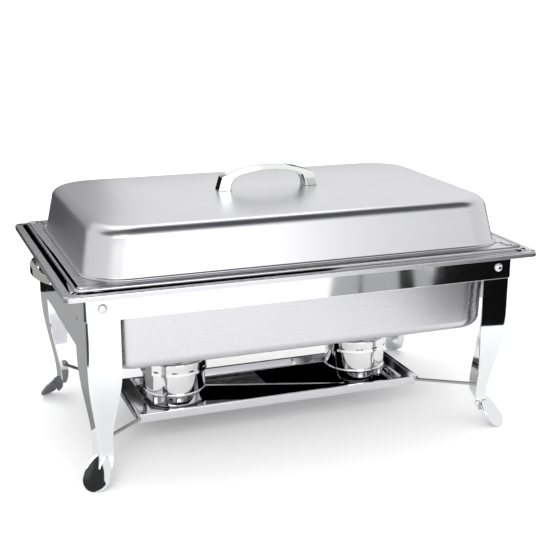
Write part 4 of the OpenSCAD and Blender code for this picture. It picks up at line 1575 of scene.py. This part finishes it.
@dataclass
class Studio:
    """Pale floor, soft lamps, reflection cards and the camera."""

    lens: float = 72.58
    eye: Point = (-0.45666, -1.26885, 0.55509)
    azimuth: float = -22.6
    elevation: float = 15.59
    roll: float = 0.64
    shift: tuple[float, float] = (-0.0714, -0.0089)
    world: float = 1.15
    floor_grey: float = 0.95
    cards: tuple[Card, ...] = (
        Card("dark_right", (1.064, -0.790, 0.004), (1.0, 1.34), (0, 0, 28.5), grey=0.004),
        Card("handle_flag", (0.80, -1.56, 0.003), (0.52, 0.62), grey=0.004),
        Card("stripe", (0.438, -0.783, 0.005), (0.0285, 0.26), (0, 0, 26.7), grey=0.008),
        Card("thin_stripe", (0.3415, -0.7775, 0.005), (0.0045, 0.26), (0, 0, 24.2), grey=0.02),
        Card("grey_right", (0.388, -0.782, 0.0035), (0.185, 0.30), (0, 0, 25.5), grey=0.34),
        Card("rear_left", (-0.92, 0.98, 0.003), (1.64, 1.96), grey=0.30),
        Card("left_flag", (-1.05, -0.25, 0.003), (0.9, 0.5), grey=0.05),
        Card("rear_wall", (-0.75, 1.5, 0.6), (1.7, 1.2), (90, 0, 0), grey=0.30),
        Card("low_rear", (0.45, 0.62, 0.165), (1.9, 0.33), (90, 0, 0), grey=0.006),
        Card("ceiling", (-0.2, -0.75, 1.6), (3.4, 1.9), grey=0.03),
    )
    lamps: tuple[SoftBox, ...] = (
        SoftBox("key", (-1.3, -2.3, 2.0), (0, 0, 0.1), (1.6, 1.6), 34),
        SoftBox("front_strip", (0.15, -2.6, 0.75), (0, 0, 0.2), (1.2, 1.5), 13),
        SoftBox("top", (0.2, 0.9, 2.4), (0, 0, 0), (1.8, 1.4), 12),
    )

    def build(self) -> None:
        """Sets up the floor, lamps, cards and camera."""
        bpy.context.scene.view_settings.view_transform = "Standard"
        self.backdrop()
        self.floor()
        for lamp in self.lamps:
            self.lamp(lamp)
        for card in self.cards:
            self.card(card)
        self.camera()

    def backdrop(self) -> None:
        """Lights the room evenly."""
        world = bpy.data.worlds.new("room")
        bpy.context.scene.world = world
        world.use_nodes = True
        world.node_tree.nodes["Background"].inputs["Color"].default_value = (1.0, 1.0, 1.0, 1.0)
        world.node_tree.nodes["Background"].inputs["Strength"].default_value = self.world

    def plain(self, name: str, grey: float, roughness: float = 0.9) -> bpy.types.Material:
        """Returns a plain matt material."""
        material = bpy.data.materials.new(name)
        material.use_nodes = True
        shader = material.node_tree.nodes["Principled BSDF"]
        shader.inputs["Base Color"].default_value = (grey, grey, grey, 1.0)
        shader.inputs["Roughness"].default_value = roughness
        shader.inputs["Specular IOR Level"].default_value = 0.0
        return material

    def floor(self) -> None:
        """Lays a large pale floor."""
        lay_down_all()
        bpy.ops.mesh.primitive_plane_add(size=80, location=(0, 0, -0.0005))
        floor = bpy.context.object
        floor.name = "floor"
        floor.data.materials.append(self.plain("pale_floor", self.floor_grey))

    def card(self, card: Card) -> None:
        """Hangs one card that only reflections see."""
        lay_down_all()
        bpy.ops.mesh.primitive_plane_add(size=1, location=card.at,
                                         rotation=[math.radians(turn) for turn in card.turned])
        made = bpy.context.object
        made.name = card.name
        made.scale = (*card.size, 1)
        made.data.materials.append(self.plain(card.name, card.grey))
        made.visible_camera = False
        made.visible_diffuse = False
        made.visible_shadow = False
        made.visible_transmission = False

    def lamp(self, lamp: SoftBox) -> None:
        """Hangs one soft lamp."""
        light = bpy.data.lights.new(lamp.name, "AREA")
        light.shape = "RECTANGLE"
        light.size, light.size_y = lamp.size
        light.energy = lamp.power
        hung = bpy.data.objects.new(lamp.name, light)
        hung.location = lamp.at
        hung.rotation_euler = (Vector(lamp.aim) - Vector(lamp.at)).to_track_quat("-Z", "Y").to_euler()
        hung.visible_camera = False
        bpy.context.scene.collection.objects.link(hung)

    def camera(self) -> None:
        """Sets the camera at the three-quarter view from the front left."""
        data = bpy.data.cameras.new("camera")
        data.lens = self.lens
        data.sensor_width = 36
        data.shift_x, data.shift_y = self.shift
        camera = bpy.data.objects.new("camera", data)
        tilt = math.radians(90 - self.elevation)
        turn = Matrix.Rotation(math.radians(self.azimuth), 4, "Z") @ Matrix.Rotation(tilt, 4, "X")
        camera.matrix_world = Matrix.Translation(Vector(self.eye)) @ turn @ Matrix.Rotation(
            math.radians(self.roll), 4, "Z")
        bpy.context.scene.collection.objects.link(camera)
        bpy.context.scene.camera = camera


def main() -> None:
    """Builds the whole dish in order, then the studio round it."""
    logging.basicConfig(level=logging.INFO, format="%(name)s: %(message)s")
    finishes = FinishRack()
    assemblies: list[Assembly] = [PanFrame(finishes)]
    assemblies += [LegSet(finishes, end=end) for end in End]
    assemblies += [FuelTray(finishes)]
    assemblies += [FuelHolder(finishes, end=end) for end in End]
    assemblies += [
        Pan(finishes),
        Pan(finishes, node="food_pan", body="food_pan", lip_corner=0.007, edge_drop=0.0037, body_length=0.444,
            body_width=0.283, body_corner=0.040, taper=0.005, foot=0.016),
        Lid(finishes),
    ]
    for assembly in assemblies:
        assembly.build()
    Studio().build()
    lay_down_all()


if __name__ == "__main__":
    main()
